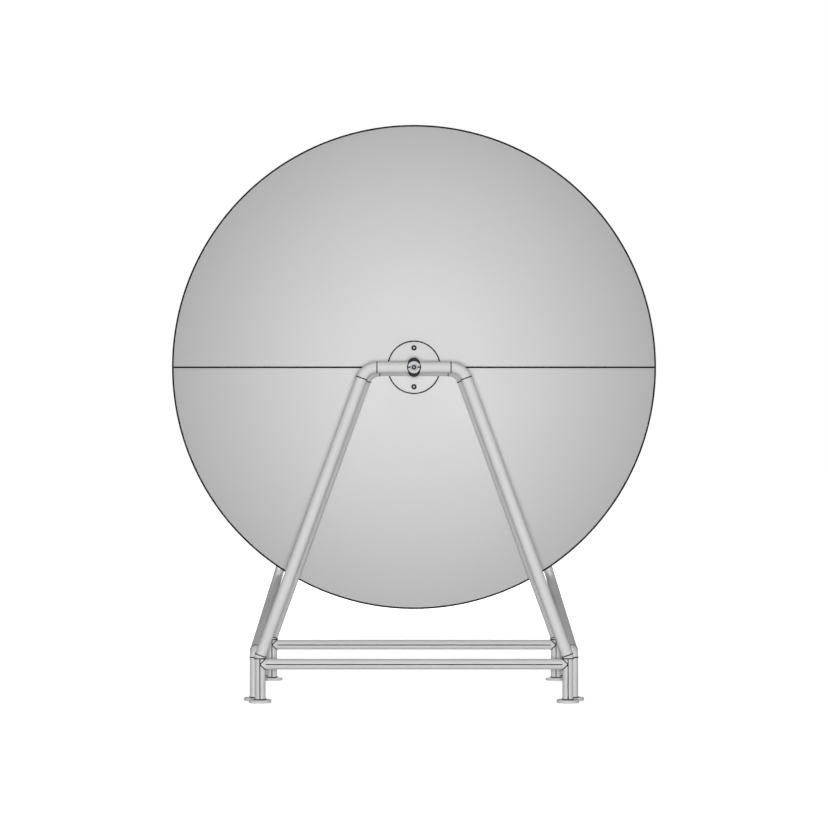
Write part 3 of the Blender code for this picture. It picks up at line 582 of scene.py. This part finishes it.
# %% [markdown]
# ## Welds
# Tubes are welded to the feet and to each other, and each bend is welded in at both its ends.
# A bead is a thin cord along the joint whose thickness swells every few millimetres, as the
# torch moves on. A curve holds a radius at each of its points, so it makes the swelling with
# no sculpting. A real ripple is about 1 mm long: it is drawn at 3 mm here.

# %% Weld bead tools
RIPPLE = 0.003
SWELL, NECK = 1.16, 0.9      # thick and thin of a ripple


def bead(points, size):
    """Rippled closed bead along some points."""
    path = bpy.data.curves.new("bead", 'CURVE')
    path.dimensions, path.bevel_depth, path.bevel_resolution = '3D', size, 2
    spline = path.splines.new('POLY')
    spline.points.add(len(points) - 1)
    for i, point in enumerate(points):
        spline.points[i].co = (*point, 1.0)
        spline.points[i].radius = SWELL if i % 2 else NECK
    spline.use_cyclic_u = True
    maker = bpy.data.objects.new("bead", path)
    bpy.context.scene.collection.objects.link(maker)
    shape = bmesh.new()
    shape.from_mesh(maker.to_mesh())
    bpy.data.objects.remove(maker)
    bmesh.ops.remove_doubles(shape, verts=shape.verts, dist=TOUCHING)
    bmesh.ops.recalc_face_normals(shape, faces=shape.faces)
    return shape


def round_joint(place, radius, saddle=0.0):
    """Points round a tube; with a saddle radius they follow another tube that it meets."""
    count = 2 * round(math.tau * radius / RIPPLE)
    points = []
    for i in range(count):
        x, y = radius * math.cos(math.tau * i / count), radius * math.sin(math.tau * i / count)
        dip = math.sqrt(max(0.0, saddle ** 2 - y ** 2)) if saddle else 0.0
        points.append(place @ Vector((x, y, dip)))
    return points


def bend_ends(before, corner, after, bend):
    """Where a bend starts and ends on a tube's line, as places that face along the tube."""
    before, corner, after = Vector(before), Vector(corner), Vector(after)
    half = (before - corner).angle(after - corner) / 2
    for way in (before - corner, after - corner):
        point = corner + way.normalized() * (bend / math.tan(half))
        yield Matrix.Translation(point) @ way.to_track_quat('Z', 'Y').to_matrix().to_4x4()


print("a bead round a post has", len(round_joint(ALONG_Z, POST)), "points")

# %% Weld beads
FOOT_BEAD, RAIL_BEAD, BEND_BEAD = 0.0026, 0.0022, 0.0023     # half the thickness of each
FOOT_BEAD_Z = FOOT_THICKNESS + 0.0008
BEND_SINK = 0.0008           # the beads at a bend lie this deep in the tube
STEP_Z = HOOP_END - 0.0006   # bead where a hoop stands on its slimmer post
beads = []
for y in (FRONT_Y, REAR_Y):
    for sign in (-1, 1):
        post_x = sign * POST_X
        for place in (at(post_x, y, FOOT_BEAD_Z, ALONG_Z),
                      at(sign * BRACE_X, y + BRACE_FOOT_BEHIND, FOOT_BEAD_Z, ALONG_Z)):
            beads.append(bead(round_joint(place, POST), FOOT_BEAD))
        inward = Matrix.Rotation(-sign * math.pi / 2, 4, 'Y')
        beads.append(bead(round_joint(at(post_x, y, RAIL_Z, inward), POST, POST), RAIL_BEAD))
        beads.append(bead(round_joint(at(post_x, y, STEP_Z, ALONG_Z), TUBE), RAIL_BEAD))
        knee, top = (post_x, y, KNEE_Z), (sign * BAR_X, y, AXLE_Z)
        joints = [list(bend_ends((post_x, y, 0), knee, top, KNEE_BEND))[1]]
        joints += bend_ends(knee, top, (0, y, AXLE_Z), TOP_BEND)
        beads += [bead(round_joint(joint, TUBE - BEND_SINK), BEND_BEAD) for joint in joints]
for sign in (-1, 1):
    flip = Vector((sign, 1, 1))
    for joint in bend_ends(brace_foot * flip, brace_knee * flip, cross * flip, KNEE_BEND):
        beads.append(bead(round_joint(joint, POST - BEND_SINK), BEND_BEAD))
welds = finish_piece(joined(beads), "stand_weld_beads", BARE_WELD, "stand", "stand_tube")
print("weld beads:", len(beads), "with", len(welds.data.polygons), "faces")

# %% [markdown]
# Posts and rails are welded tube as well. Their long seam faces the front, where the picture
# shows a dark line down the middle of each. A line in the material would look the same from
# afar, but a thin bar that is mostly sunk in the tube is also there in the mesh itself.

# %% Long seams of the posts and rails
SEAM = 0.0024                # radius of the bead
SEAM_OUT = POST - 0.6 * SEAM         # its middle, from the middle of the tube
SEAM_CLEAR = 0.001           # it stops this far short of the next tube
ALONG_X = Matrix.Rotation(math.pi / 2, 4, 'Y')
rail_half = POST_X - POST - SEAM_CLEAR
seams = []
for y in (FRONT_Y, REAR_Y):
    seams.append(bar(12, SEAM, -rail_half, rail_half, at(0, y - SEAM_OUT, RAIL_Z, ALONG_X)))
    for sign in (-1, 1):
        place = at(sign * POST_X, y - SEAM_OUT, 0, ALONG_Z)
        seams.append(bar(12, SEAM, FOOT_TOP, HOOP_END - SEAM_CLEAR, place))
finish_piece(joined(seams), "tube_long_seams", BARE_WELD, "stand", "stand_tube")
print(len(seams), "long seams")

# %% [markdown]
# ## Bearings
# Each top bar carries an oblong saddle plate on both faces, and a flanged bronze bush through
# plates and bar. An oblong could be two discs and a box in one, but it is simpler to start
# from a disc and pull its upper and lower halves apart.

# %% Saddle plates and bushes
SADDLE_ROUND, SADDLE_PULL = 0.023, 0.013     # radius of the ends, and how far each is pulled
LEVEL_UP = 0.00001           # corners on the level line count as upper ones
BUSH_FLANGE_RADIUS = 0.024
AXLE = 0.0125
BORE = AXLE + GAP
for name, y in HOOPS:
    for face, start in (("front", -SADDLE_OUT), ("back", SADDLE_IN)):
        place = at(0, y + start, AXLE_Z)
        saddle = bar(64, SADDLE_ROUND, 0, SADDLE, place)
        for vert in saddle.verts:
            vert.co.z += math.copysign(SADDLE_PULL, vert.co.z - AXLE_Z + LEVEL_UP)
        saddle = drilled(saddle, [through(BUSH_RADIUS + GAP, place, 48)])
        node = name + "_hoop_" + face + "_saddle"
        saddle = leaned(soften(saddle, 0.0008))
        # the saddle's near-black finish is painted shade, for the dark faces round the bearing
        finish_piece(saddle, node + "_plate", BLACK_STEEL_AND_SHADE, "stand", "saddle_steel", node)
    facing = -1 if name == "front" else 1
    section = [(BUSH_FLANGE_RADIUS, FLANGE_OUT), (BUSH_FLANGE_RADIUS, FLANGE_IN),
               (BUSH_RADIUS, FLANGE_IN), (BUSH_RADIUS, -SADDLE_OUT),
               (BORE, -SADDLE_OUT), (BORE, FLANGE_OUT)]
    bush = turned([(radius, facing * height) for radius, height in section], at(0, y, AXLE_Z))
    bush = leaned(soften(bush, 0.0005))
    finish_piece(bush, name + "_flanged_bush", BRONZE, "stand", "bush_bronze", name + "_bush")
print("bush flanges reach", round(FLANGE_OUT, 4), "m from each hoop")

# %% [markdown]
# ## Axle and end bolt
# A bright steel axle runs from the front collar to the back of the hub. A thrust washer runs
# against each bush, inside a rubber ring that keeps dust out. A black bolt with a bright grease
# nipple closes the front end. A six-sided prism with its rim rounded off makes any bolt head or
# nut: threads would not show at this size, so shanks are plain.

# %% Axle, thrust washers and end bolt
COLLAR, AXLE_PAST_COLLAR = 0.016, 0.002
COLLAR_IN = WASHER_OUT + GAP
COLLAR_OUT = COLLAR_IN + COLLAR
AXLE_END = COLLAR_OUT + AXLE_PAST_COLLAR
WASHER_RADIUS = 0.022
SEAL_OUT, SEAL_IN = 0.0262, 0.0221
M10_FLATS, M10_SHANK = 0.017, 0.005
M10_HOLE = M10_SHANK + GAP
INTO_HEAD = 0.003            # a shank starts inside its head
END_WASHER_RADIUS, END_HEAD, END_SHANK = 0.0115, 0.0044, 0.02
NIPPLE = [(0.0001, -0.0064), (0.0018, -0.0064), (0.0036, -0.0052), (0.0036, -0.004), (0.0001, -0.004)]


def hexagon(flats, start, end, place):
    """Hexagon head or nut with a rounded-off rim."""
    head = bar(6, flats / math.sqrt(3), start, end, place)
    return soften(head, 0.0007, 2, 80)


axle = bar(64, AXLE, FRONT_Y - AXLE_END, BACKING_END, at(0, 0, AXLE_Z))
finish_piece(soften(axle, 0.001), "ground_axle", AXLE_STEEL, "rotor", "fastener_steel", "axle")
for name, y, facing in (("front", FRONT_Y, -1), ("rear", REAR_Y, 1)):
    low, high = sorted((facing * WASHER_IN, facing * WASHER_OUT))
    washer = soften(turned(ring(WASHER_RADIUS, BORE, low, high), at(0, y, AXLE_Z)), 0.0004)
    finish_piece(washer, name + "_thrust_ring", ZINC, "rotor", "fastener_steel", name + "_thrust_washer")
    seal = soften(turned(ring(SEAL_OUT, SEAL_IN, low, high), at(0, y, AXLE_Z)), 0.0006)
    finish_piece(seal, name + "_dust_seal", RUBBER, "rotor", "pad_rubber")
end_y = FRONT_Y - AXLE_END - GAP
washer = turned(ring(END_WASHER_RADIUS, M10_HOLE, -WASHER, 0), at(0, end_y, AXLE_Z))
finish_piece(soften(washer, 0.0003), "end_bolt_washer", ZINC, "rotor", "fastener_steel", "end_washer")
place = at(0, end_y - WASHER - GAP, AXLE_Z)
bolt = joined([hexagon(M10_FLATS, -END_HEAD, 0, place), bar(32, M10_SHANK, -INTO_HEAD, END_SHANK, place)])
finish_piece(bolt, "end_hexagon_bolt", BLACK_STEEL_AND_SHADE, "rotor", "fastener_steel", "end_bolt")
finish_piece(turned(NIPPLE, place, 32), "end_grease_nipple", ZINC, "rotor", "fastener_steel")
print("axle from", round(FRONT_Y - AXLE_END, 4), "to", round(BACKING_END, 4))

# %% [markdown]
# ## Split collar
# The collar that keeps the axle from sliding is two half rings with black shims in the split,
# pulled together by two cap screws. A whole ring is turned and cut level with bisect_plane, and
# the cut is closed, so each half is a solid of its own. The dish is cut in the same way.

# %% Cutting level and the split collar
COLLAR_RADIUS = 0.0225
SHIM = 0.0022                # half the thickness of the shims in the split
SHIM_LENGTH, SHIM_X = 0.0088, 0.0175
CAP_SCREW_X = 0.0177


def cut_level(shape, height, keep):
    """Cut a shape level at a height, keep the part above or below, and close the cut."""
    geometry = shape.verts[:] + shape.edges[:] + shape.faces[:]
    bmesh.ops.bisect_plane(shape, geom=geometry, plane_co=(0, 0, height), plane_no=(0, 0, 1),
                           clear_outer=keep < 0, clear_inner=keep > 0)
    bmesh.ops.holes_fill(shape, edges=[edge for edge in shape.edges if edge.is_boundary], sides=0)
    bmesh.ops.recalc_face_normals(shape, faces=shape.faces)
    return shape


def cap_screw(place, radius, start, end, socket, bottom):
    """Round screw head with a six-sided socket from its top down to a bottom."""
    head = soften(bar(32, radius, start, end, place), 0.0005)
    return drilled(head, [bar(6, socket, bottom, end + bottom, place)])


for name, keep in (("upper", 1), ("lower", -1)):
    half = turned(ring(COLLAR_RADIUS, BORE, -COLLAR_OUT, -COLLAR_IN), at(0, FRONT_Y, AXLE_Z))
    half = soften(cut_level(half, AXLE_Z + keep * SHIM, keep), 0.0006)
    finish_piece(half, "collar_half_" + name, ZINC, "rotor", "fastener_steel", "collar_" + name)
screws, shims = [], []
collar_y = FRONT_Y - (COLLAR_IN + COLLAR_OUT) / 2
for sign in (-1, 1):
    shim = bmesh.new()
    bmesh.ops.create_cube(shim, size=1)
    bmesh.ops.scale(shim, verts=shim.verts, vec=(SHIM_LENGTH, COLLAR_OUT - COLLAR_IN, 2 * SHIM))
    bmesh.ops.translate(shim, verts=shim.verts, vec=(sign * SHIM_X, collar_y, AXLE_Z))
    shims.append(shim)
    place = at(sign * CAP_SCREW_X, collar_y, AXLE_Z, ALONG_Z)
    screws.append(cap_screw(place, radius=0.0036, start=0.0095, end=0.0142, socket=0.0017, bottom=0.0118))
finish_piece(joined(screws), "collar_cap_screws", ZINC, "rotor", "fastener_steel")
finish_piece(joined(shims), "collar_split_shims", RUBBER, "rotor", "pad_rubber")
print("collar between", round(FRONT_Y - COLLAR_OUT, 4), "and", round(FRONT_Y - COLLAR_IN, 4))

# %% [markdown]
# ## Dish
# The dish is spun from sheet and cut into two halves along the level line through its centre.
# A piece of a sphere would give the skin alone: here the whole section is drawn, with its
# thickness and the flat return behind the rim, and turned all the way round.

# %% Section of the shell
TRIM = 0.007                 # width of the edge trim and of the seam strip
RIM = DISH_RADIUS - TRIM
RIM_RETURN = DISH_RADIUS - 0.055     # inner edge of the flat return behind the rim
SECTION_STEPS = 44
RINGS = [FLAT + (RIM - FLAT) * i / SECTION_STEPS for i in range(SECTION_STEPS + 1)]
CORNER_CLEAR = 0.01          # no ring this close to where the shell meets the return
meeting = math.sqrt(CURVATURE ** 2 - (SEAT - rim_front + SHELL) ** 2)


def shell_section(proud):
    """Outline of the shell, with both its faces moved out by a small amount."""
    outer = [(BORE, -proud)] + [(r, depth(r) - proud) for r in RINGS]
    inner = [(r, depth(r) + SHELL + proud) for r in RINGS if r < meeting - CORNER_CLEAR]
    lip = [(RIM, rim_back), (RIM_RETURN, rim_back), (RIM_RETURN, rim_front), (meeting, rim_front)]
    return outer + lip + inner[::-1] + [(BORE, SHELL + proud)]


print("the section has", len(shell_section(0)), "points")

# %% Two half shells
DISH_STEPS = 192
DISH_PLACE = at(0, DISH_Y, AXLE_Z)
for name, keep in (("upper", 1), ("lower", -1)):
    half = turned(shell_section(0), DISH_PLACE, DISH_STEPS)
    half = cut_level(half, AXLE_Z + keep * TRIM / 2, keep)
    half = finish_piece(half, "dish_half_" + name, DISH_PAINT, "rotor", "dish_shell", "dish_" + name)
    print(half.name, len(half.data.polygons), "faces", [round(c, 3) for c in half.dimensions])

# %% [markdown]
# The cut is a few millimetres wide and holds a black rubber strip, and the rim has a black edge
# trim: they are the dark lines that the picture shows across the dish and round it. The strip
# is a level slice of a slightly thicker shell, so it follows the dish exactly.

# %% Seam strip and edge trim
STRIP_PROUD = 0.0006
TRIM_EDGE = DISH_RADIUS - 0.0001     # stays inside the box of the solids
TRIM_BITE, TRIM_FRONT, TRIM_BACK = 0.0004, 0.0008, 0.0016    # into, before and behind the rim
strip = turned(shell_section(STRIP_PROUD), DISH_PLACE, DISH_STEPS)
strip = cut_level(cut_level(strip, AXLE_Z - TRIM / 2, 1), AXLE_Z + TRIM / 2, -1)
finish_piece(strip, "dish_seam_strip", RUBBER, "rotor", "pad_rubber")
section = ring(TRIM_EDGE, RIM - TRIM_BITE, depth(RIM) - TRIM_FRONT, rim_back + TRIM_BACK)
trim = turned(section, DISH_PLACE, DISH_STEPS)
finish_piece(soften(trim, 0.0012, 3), "dish_edge_trim", RUBBER, "rotor", "pad_rubber")
print("trim outer radius", TRIM_EDGE, "m, strip", TRIM, "m wide")

# %% [markdown]
# ## Seam flanges
# Behind the seam each half has a narrow folded flange, and bolts pull the two flanges together.
# A flange could be extruded from the edge of the cut, but the edge is a long curve: a turned
# band, cut by two level planes, gives the same slice with clean ends.

# %% Folded flanges and their bolts
FLANGE_DEPTH, FLANGE = 0.030, 0.004
BAND_START, BAND_WIDTH, BAND_STEPS = 0.140, 0.810, 40
SEAM_BOLT_RADII = (0.360, 0.630, 0.890)
M8_FLATS, M8_SHANK, M8_HOLE, M8_HEAD, M8_NUT = 0.013, 0.004, 0.0041, 0.0052, 0.0065
M8_WASHER, M8_WASHER_RADIUS = 0.0014, 0.008
TAIL = 0.011                 # shank beyond the clamped plates, nut and all
band_radii = [BAND_START + BAND_WIDTH * i / BAND_STEPS for i in range(BAND_STEPS + 1)]
band = [(r, depth(r) + SHELL / 2) for r in band_radii]
band += [(r, depth(r) + FLANGE_DEPTH) for r in reversed(band_radii)]
stack = TRIM / 2 + FLANGE
for name, keep in (("upper", 1), ("lower", -1)):
    low, high = sorted((keep * TRIM / 2, keep * stack))
    flange = cut_level(turned(band, DISH_PLACE, DISH_STEPS), AXLE_Z + low, 1)
    flange = cut_level(flange, AXLE_Z + high, -1)
    finish_piece(flange, "seam_flange_" + name, DISH_PAINT, "rotor", "dish_shell")
seat = stack + M8_WASHER
count = 0
for sign in (-1, 1):
    for radius in SEAM_BOLT_RADII:
        count += 1
        bolt_y = DISH_Y + depth(radius) + (SHELL + FLANGE_DEPTH) / 2
        place = at(sign * radius, bolt_y, AXLE_Z, ALONG_Z)
        bolt = joined([
            hexagon(M8_FLATS, -seat - M8_HEAD, -seat, place),
            turned(ring(M8_WASHER_RADIUS, M8_HOLE, -seat, -stack), place, 32),
            bar(24, M8_SHANK, -stack - INTO_HEAD, stack + TAIL, place),
            turned(ring(M8_WASHER_RADIUS, M8_HOLE, stack, seat), place, 32),
            hexagon(M8_FLATS, seat, seat + M8_NUT, place)])
        name = f"seam_bolt_and_nut_{count}"
        finish_piece(bolt, name, ZINC, "rotor", "fastener_steel", f"seam_bolt_{count}")
print(count, "seam bolts")

# %% [markdown]
# ## Hub
# Two round plates clamp the flat middle of the dish, with four bolts through all three. A bead
# of black sealant covers the edge of the front plate, and a rubber boot seals each bolt head and
# leaves only its middle bare. Bead and boots are solid rings, because a dark line that is only
# painted on would vanish in the exported mesh.

# %% Hub plates and sealant
HUB_RADIUS = 0.1075
SEALANT_PROUD, SEALANT_LAP = 0.0012, 0.0042
for name, node, y, thickness in (("front", "hub_plate", HUB_FRONT, HUB_PLATE),
                                 ("back", "backing_plate", BACKING_Y, BACKING_PLATE)):
    plate = turned(ring(HUB_RADIUS, BORE, 0, thickness), at(0, y, AXLE_Z), 128)
    finish_piece(soften(plate, 0.0012), "hub_disc_" + name, PLATE_COAT, "rotor", "plate_steel", node)
section = ring(HUB_RADIUS + SEALANT_PROUD, HUB_RADIUS - SEALANT_LAP, -SEALANT_PROUD, HUB_PLATE)
sealant = turned(section, at(0, HUB_FRONT, AXLE_Z), 128)
finish_piece(soften(sealant, 0.0009, 3), "hub_sealant_bead", RUBBER, "rotor", "pad_rubber")
print("hub plates", HUB_RADIUS * 2, "m across")

# %% Hub bolts, nuts and boots
BOLT_CIRCLE = 0.079
HUB_HEAD, HUB_NUT = 0.0064, 0.008
BOOT = [(0.0110, 0), (0.0110, -0.0070), (0.0042, -0.0076),
        (0.0042, -0.0067), (0.0099, -0.0067), (0.0099, 0)]


def hexagon_nut(flats, height, hole, place):
    """Nut with its hole drilled through."""
    return drilled(hexagon(flats, 0, height, place), [through(hole, place)])


clamped = BACKING_END - HUB_FRONT
boots = []
for i, (across, up) in enumerate(four_round(BOLT_CIRCLE, 90), 1):
    place = at(across, HUB_FRONT, AXLE_Z + up)
    boots.append(soften(turned(BOOT, place, 40), 0.0005))
    bolt = joined([hexagon(M10_FLATS, -HUB_HEAD, -GAP, place),
                   bar(32, M10_SHANK, -INTO_HEAD, clamped + TAIL, place)])
    finish_piece(bolt, f"hub_hexagon_bolt_{i}", ZINC, "rotor", "fastener_steel", f"hub_bolt_{i}")
    nut = hexagon_nut(M10_FLATS, HUB_NUT, M10_HOLE, place @ Matrix.Translation((0, 0, clamped + GAP)))
    finish_piece(nut, f"hub_hexagon_nut_{i}", ZINC, "rotor", "fastener_steel", f"hub_nut_{i}")
finish_piece(joined(boots), "hub_bolt_boots", RUBBER, "rotor", "pad_rubber")
print("4 hub bolts,", round(clamped + TAIL, 4), "m long")

# %% [markdown]
# ## Feed
# A slim tube stands on the back of the hub and ends in a turned cup at the focus. A flange with
# four cap screws holds the tube. Tube and flange are one turned outline, as a welded pair would
# look, and the cup is open towards the dish.

# %% Feed mast and cup
FEED_Y = BACKING_END + GAP
MAST_FLANGE, MAST_FLANGE_RADIUS = 0.008, 0.055
MAST_OUT, MAST_IN, MAST_END = 0.016, 0.0125, 0.768
CUP_OUT, CUP_IN, CUP_LENGTH, CUP_BASE = 0.060, 0.056, 0.090, 0.008
SCREW_CIRCLE = 0.040
mast = [(MAST_FLANGE_RADIUS, 0), (MAST_FLANGE_RADIUS, MAST_FLANGE), (MAST_OUT, MAST_FLANGE),
        (MAST_OUT, MAST_END), (MAST_IN, MAST_END), (MAST_IN, 0)]
mast = soften(turned(mast, at(0, FEED_Y, AXLE_Z)), 0.0008)
finish_piece(mast, "turned_feed_mast", ANODISED, "rotor", "feed_aluminium", "feed_mast")
CUP_Y = FEED_Y + MAST_END + GAP + CUP_BASE - CUP_LENGTH
cup_floor = CUP_LENGTH - CUP_BASE
cup = [(CUP_OUT, CUP_LENGTH), (CUP_OUT, 0), (CUP_IN, 0), (CUP_IN, cup_floor),
       (MAST_IN, cup_floor), (MAST_IN, CUP_LENGTH)]
cup = soften(turned(cup, at(0, CUP_Y, AXLE_Z)), 0.0010)
finish_piece(cup, "turned_feed_cup", ANODISED, "rotor", "feed_aluminium", "feed_cup")
screws = []
for across, up in four_round(SCREW_CIRCLE, 45):
    place = at(across, FEED_Y + MAST_FLANGE, AXLE_Z + up)
    screws.append(cap_screw(place, radius=0.005, start=0, end=0.006, socket=0.0029, bottom=0.003))
finish_piece(joined(screws), "feed_flange_screws", ZINC, "rotor", "fastener_steel")
print("feed cup mouth at", round(CUP_Y, 4))

# %% [markdown]
# ## Steady pads
# Two rubber pads on long studs stand a few millimetres behind the rim and stop the dish from
# rocking in wind. The studs go through the cross bar, square to the rim, so they are made level
# and leaned with the axle, though they belong to the stand.

# %% Pads, studs and nuts
PAD_CLEAR = 0.004            # between a pad and the rim
PAD_Y = DISH_Y + rim_back + PAD_CLEAR
PAD_RADIUS, PAD = 0.020, 0.014
STUD, STUD_PAST_BAR = 0.008, 0.014
STUD_FLATS, STUD_NUT = 0.024, 0.013
for side, sign in SIDES:
    place = at(sign * PAD_X, 0, PAD_Z)
    pad = leaned(soften(bar(48, PAD_RADIUS, PAD_Y, PAD_Y + PAD, place), 0.003, 4))
    finish_piece(pad, side + "_moulded_pad", RUBBER, "stand", "pad_rubber", side + "_steady_pad")
    stud_end = CROSS_Y + POST + STUD_PAST_BAR
    stud = leaned(soften(bar(32, STUD, PAD_Y + PAD + GAP, stud_end, place), 0.0008))
    finish_piece(stud, side + "_pad_stud", ZINC, "stand", "fastener_steel", side + "_steady_stud")
    place = at(sign * PAD_X, CROSS_Y - POST - GAP - STUD_NUT, PAD_Z)
    nut = leaned(hexagon_nut(STUD_FLATS, STUD_NUT, STUD + GAP, place))
    finish_piece(nut, side + "_pad_nut", ZINC, "stand", "fastener_steel", side + "_steady_nut")
print("pads at y", round(PAD_Y, 4))

# %% [markdown]
# ## Floor and light
# The floor is a large pale sheet. It shows white to the camera, fully so away from the object,
# yet still takes the shadow under it. More light would also make it white, but would bleach the
# object too, so the white is a glow that only the camera and reflections see.

# %% Floor
FLOOR_HALF = 40
SHADOW_RADIUS, WHITE_RADIUS = 1.2, 4.0       # between these the glow grows to full white
SHADOW_GLOW = 0.84
sheet = bmesh.new()
bmesh.ops.create_grid(sheet, x_segments=1, y_segments=1, size=FLOOR_HALF)
floor = bpy.data.objects.new("floor", as_mesh(sheet, "floor"))
bpy.context.scene.collection.objects.link(floor)
floor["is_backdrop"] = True


def seen_directly(tree):
    """One where the camera, a reflection or a refraction looks, and nought for other light."""
    path = add_node(tree, "LightPath")
    seen = add_node(tree, "Math", {0: path.outputs["Is Camera Ray"], 1: path.outputs["Is Glossy Ray"]},
                    operation='MAXIMUM')
    return add_node(tree, "Math", {0: seen.outputs[0], 1: path.outputs["Is Transmission Ray"]},
                    operation='MAXIMUM').outputs[0]


paper = bpy.data.materials.new("pale_floor")
paper.use_nodes = True
tree = paper.node_tree
tree.nodes.clear()
matt = add_node(tree, "BsdfDiffuse", {"Color": linear("#BEBEBE")})
glow = add_node(tree, "Emission", {"Color": linear("#FFFFFF")})
place = add_node(tree, "TexCoord").outputs["Object"]
off = add_node(tree, "VectorMath", {0: place}, operation='LENGTH').outputs["Value"]
white = add_node(tree, "MapRange", {"Value": off, "From Min": SHADOW_RADIUS, "From Max": WHITE_RADIUS,
                                    "To Min": SHADOW_GLOW, "To Max": 1.0}).outputs["Result"]
share = add_node(tree, "Math", {0: seen_directly(tree), 1: white}, operation='MULTIPLY')
tree.links.new(share.outputs[0], glow.inputs["Strength"])
both = add_node(tree, "AddShader", {0: matt.outputs[0], 1: glow.outputs[0]})
add_node(tree, "OutputMaterial", {"Surface": both.outputs[0]})
floor.data.materials.append(paper)
print("floor", floor.dimensions.x, "m wide")

# %% [markdown]
# The main light is next to the camera, so the dish is brightest in the middle and round tubes
# darken towards their edges, as in the picture. A sun would light all of the dish alike. Weaker
# lights from above, behind and both sides keep the other faces readable.

# %% World and lights
world = bpy.data.worlds.new("studio")
bpy.context.scene.world = world
world.use_nodes = True
tree = world.node_tree
tree.nodes.clear()
AMBIENT = 0.05
level = add_node(tree, "MapRange", {"Value": seen_directly(tree), "To Min": AMBIENT, "To Max": 1.0})
sky = add_node(tree, "Background", {"Color": linear("#FFFFFF"), "Strength": level.outputs["Result"]})
add_node(tree, "OutputWorld", {"Surface": sky.outputs[0]})


def soft_light(name, place, target, size, watts):
    """Square lamp that faces a target and is not seen itself."""
    lamp = bpy.data.lights.new(name, 'AREA')
    lamp.shape, lamp.size, lamp.energy = 'SQUARE', size, watts
    holder = bpy.data.objects.new(name, lamp)
    bpy.context.scene.collection.objects.link(holder)
    holder.location = place
    holder.rotation_euler = (Vector(target) - Vector(place)).to_track_quat('-Z', 'Y').to_euler()
    holder.visible_camera = False


soft_light("front_light", eye.location, (0, 0.1, EYE_Z), 0.3, 1090)
soft_light("top_light", (0, 0.4, 6.0), (0, 0.4, 0), 3.0, 30)
soft_light("back_light", (0, 8.0, 3.4), (0, 0.3, 1.2), 2.5, 430)
for side, sign in SIDES:
    soft_light(side + "_light", (sign * 8, 4.0, 2.4), (0, 0, 1.1), 2.5, 110)
print("lights:", [lamp.name for lamp in bpy.data.lights])

# %% Print both boxes and finish
boxes = {"cad": cad_box, "visual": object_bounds()}
boxes = {name: [[round(c, 5) for c in corner] for corner in box] for name, box in boxes.items()}
print(boxes)
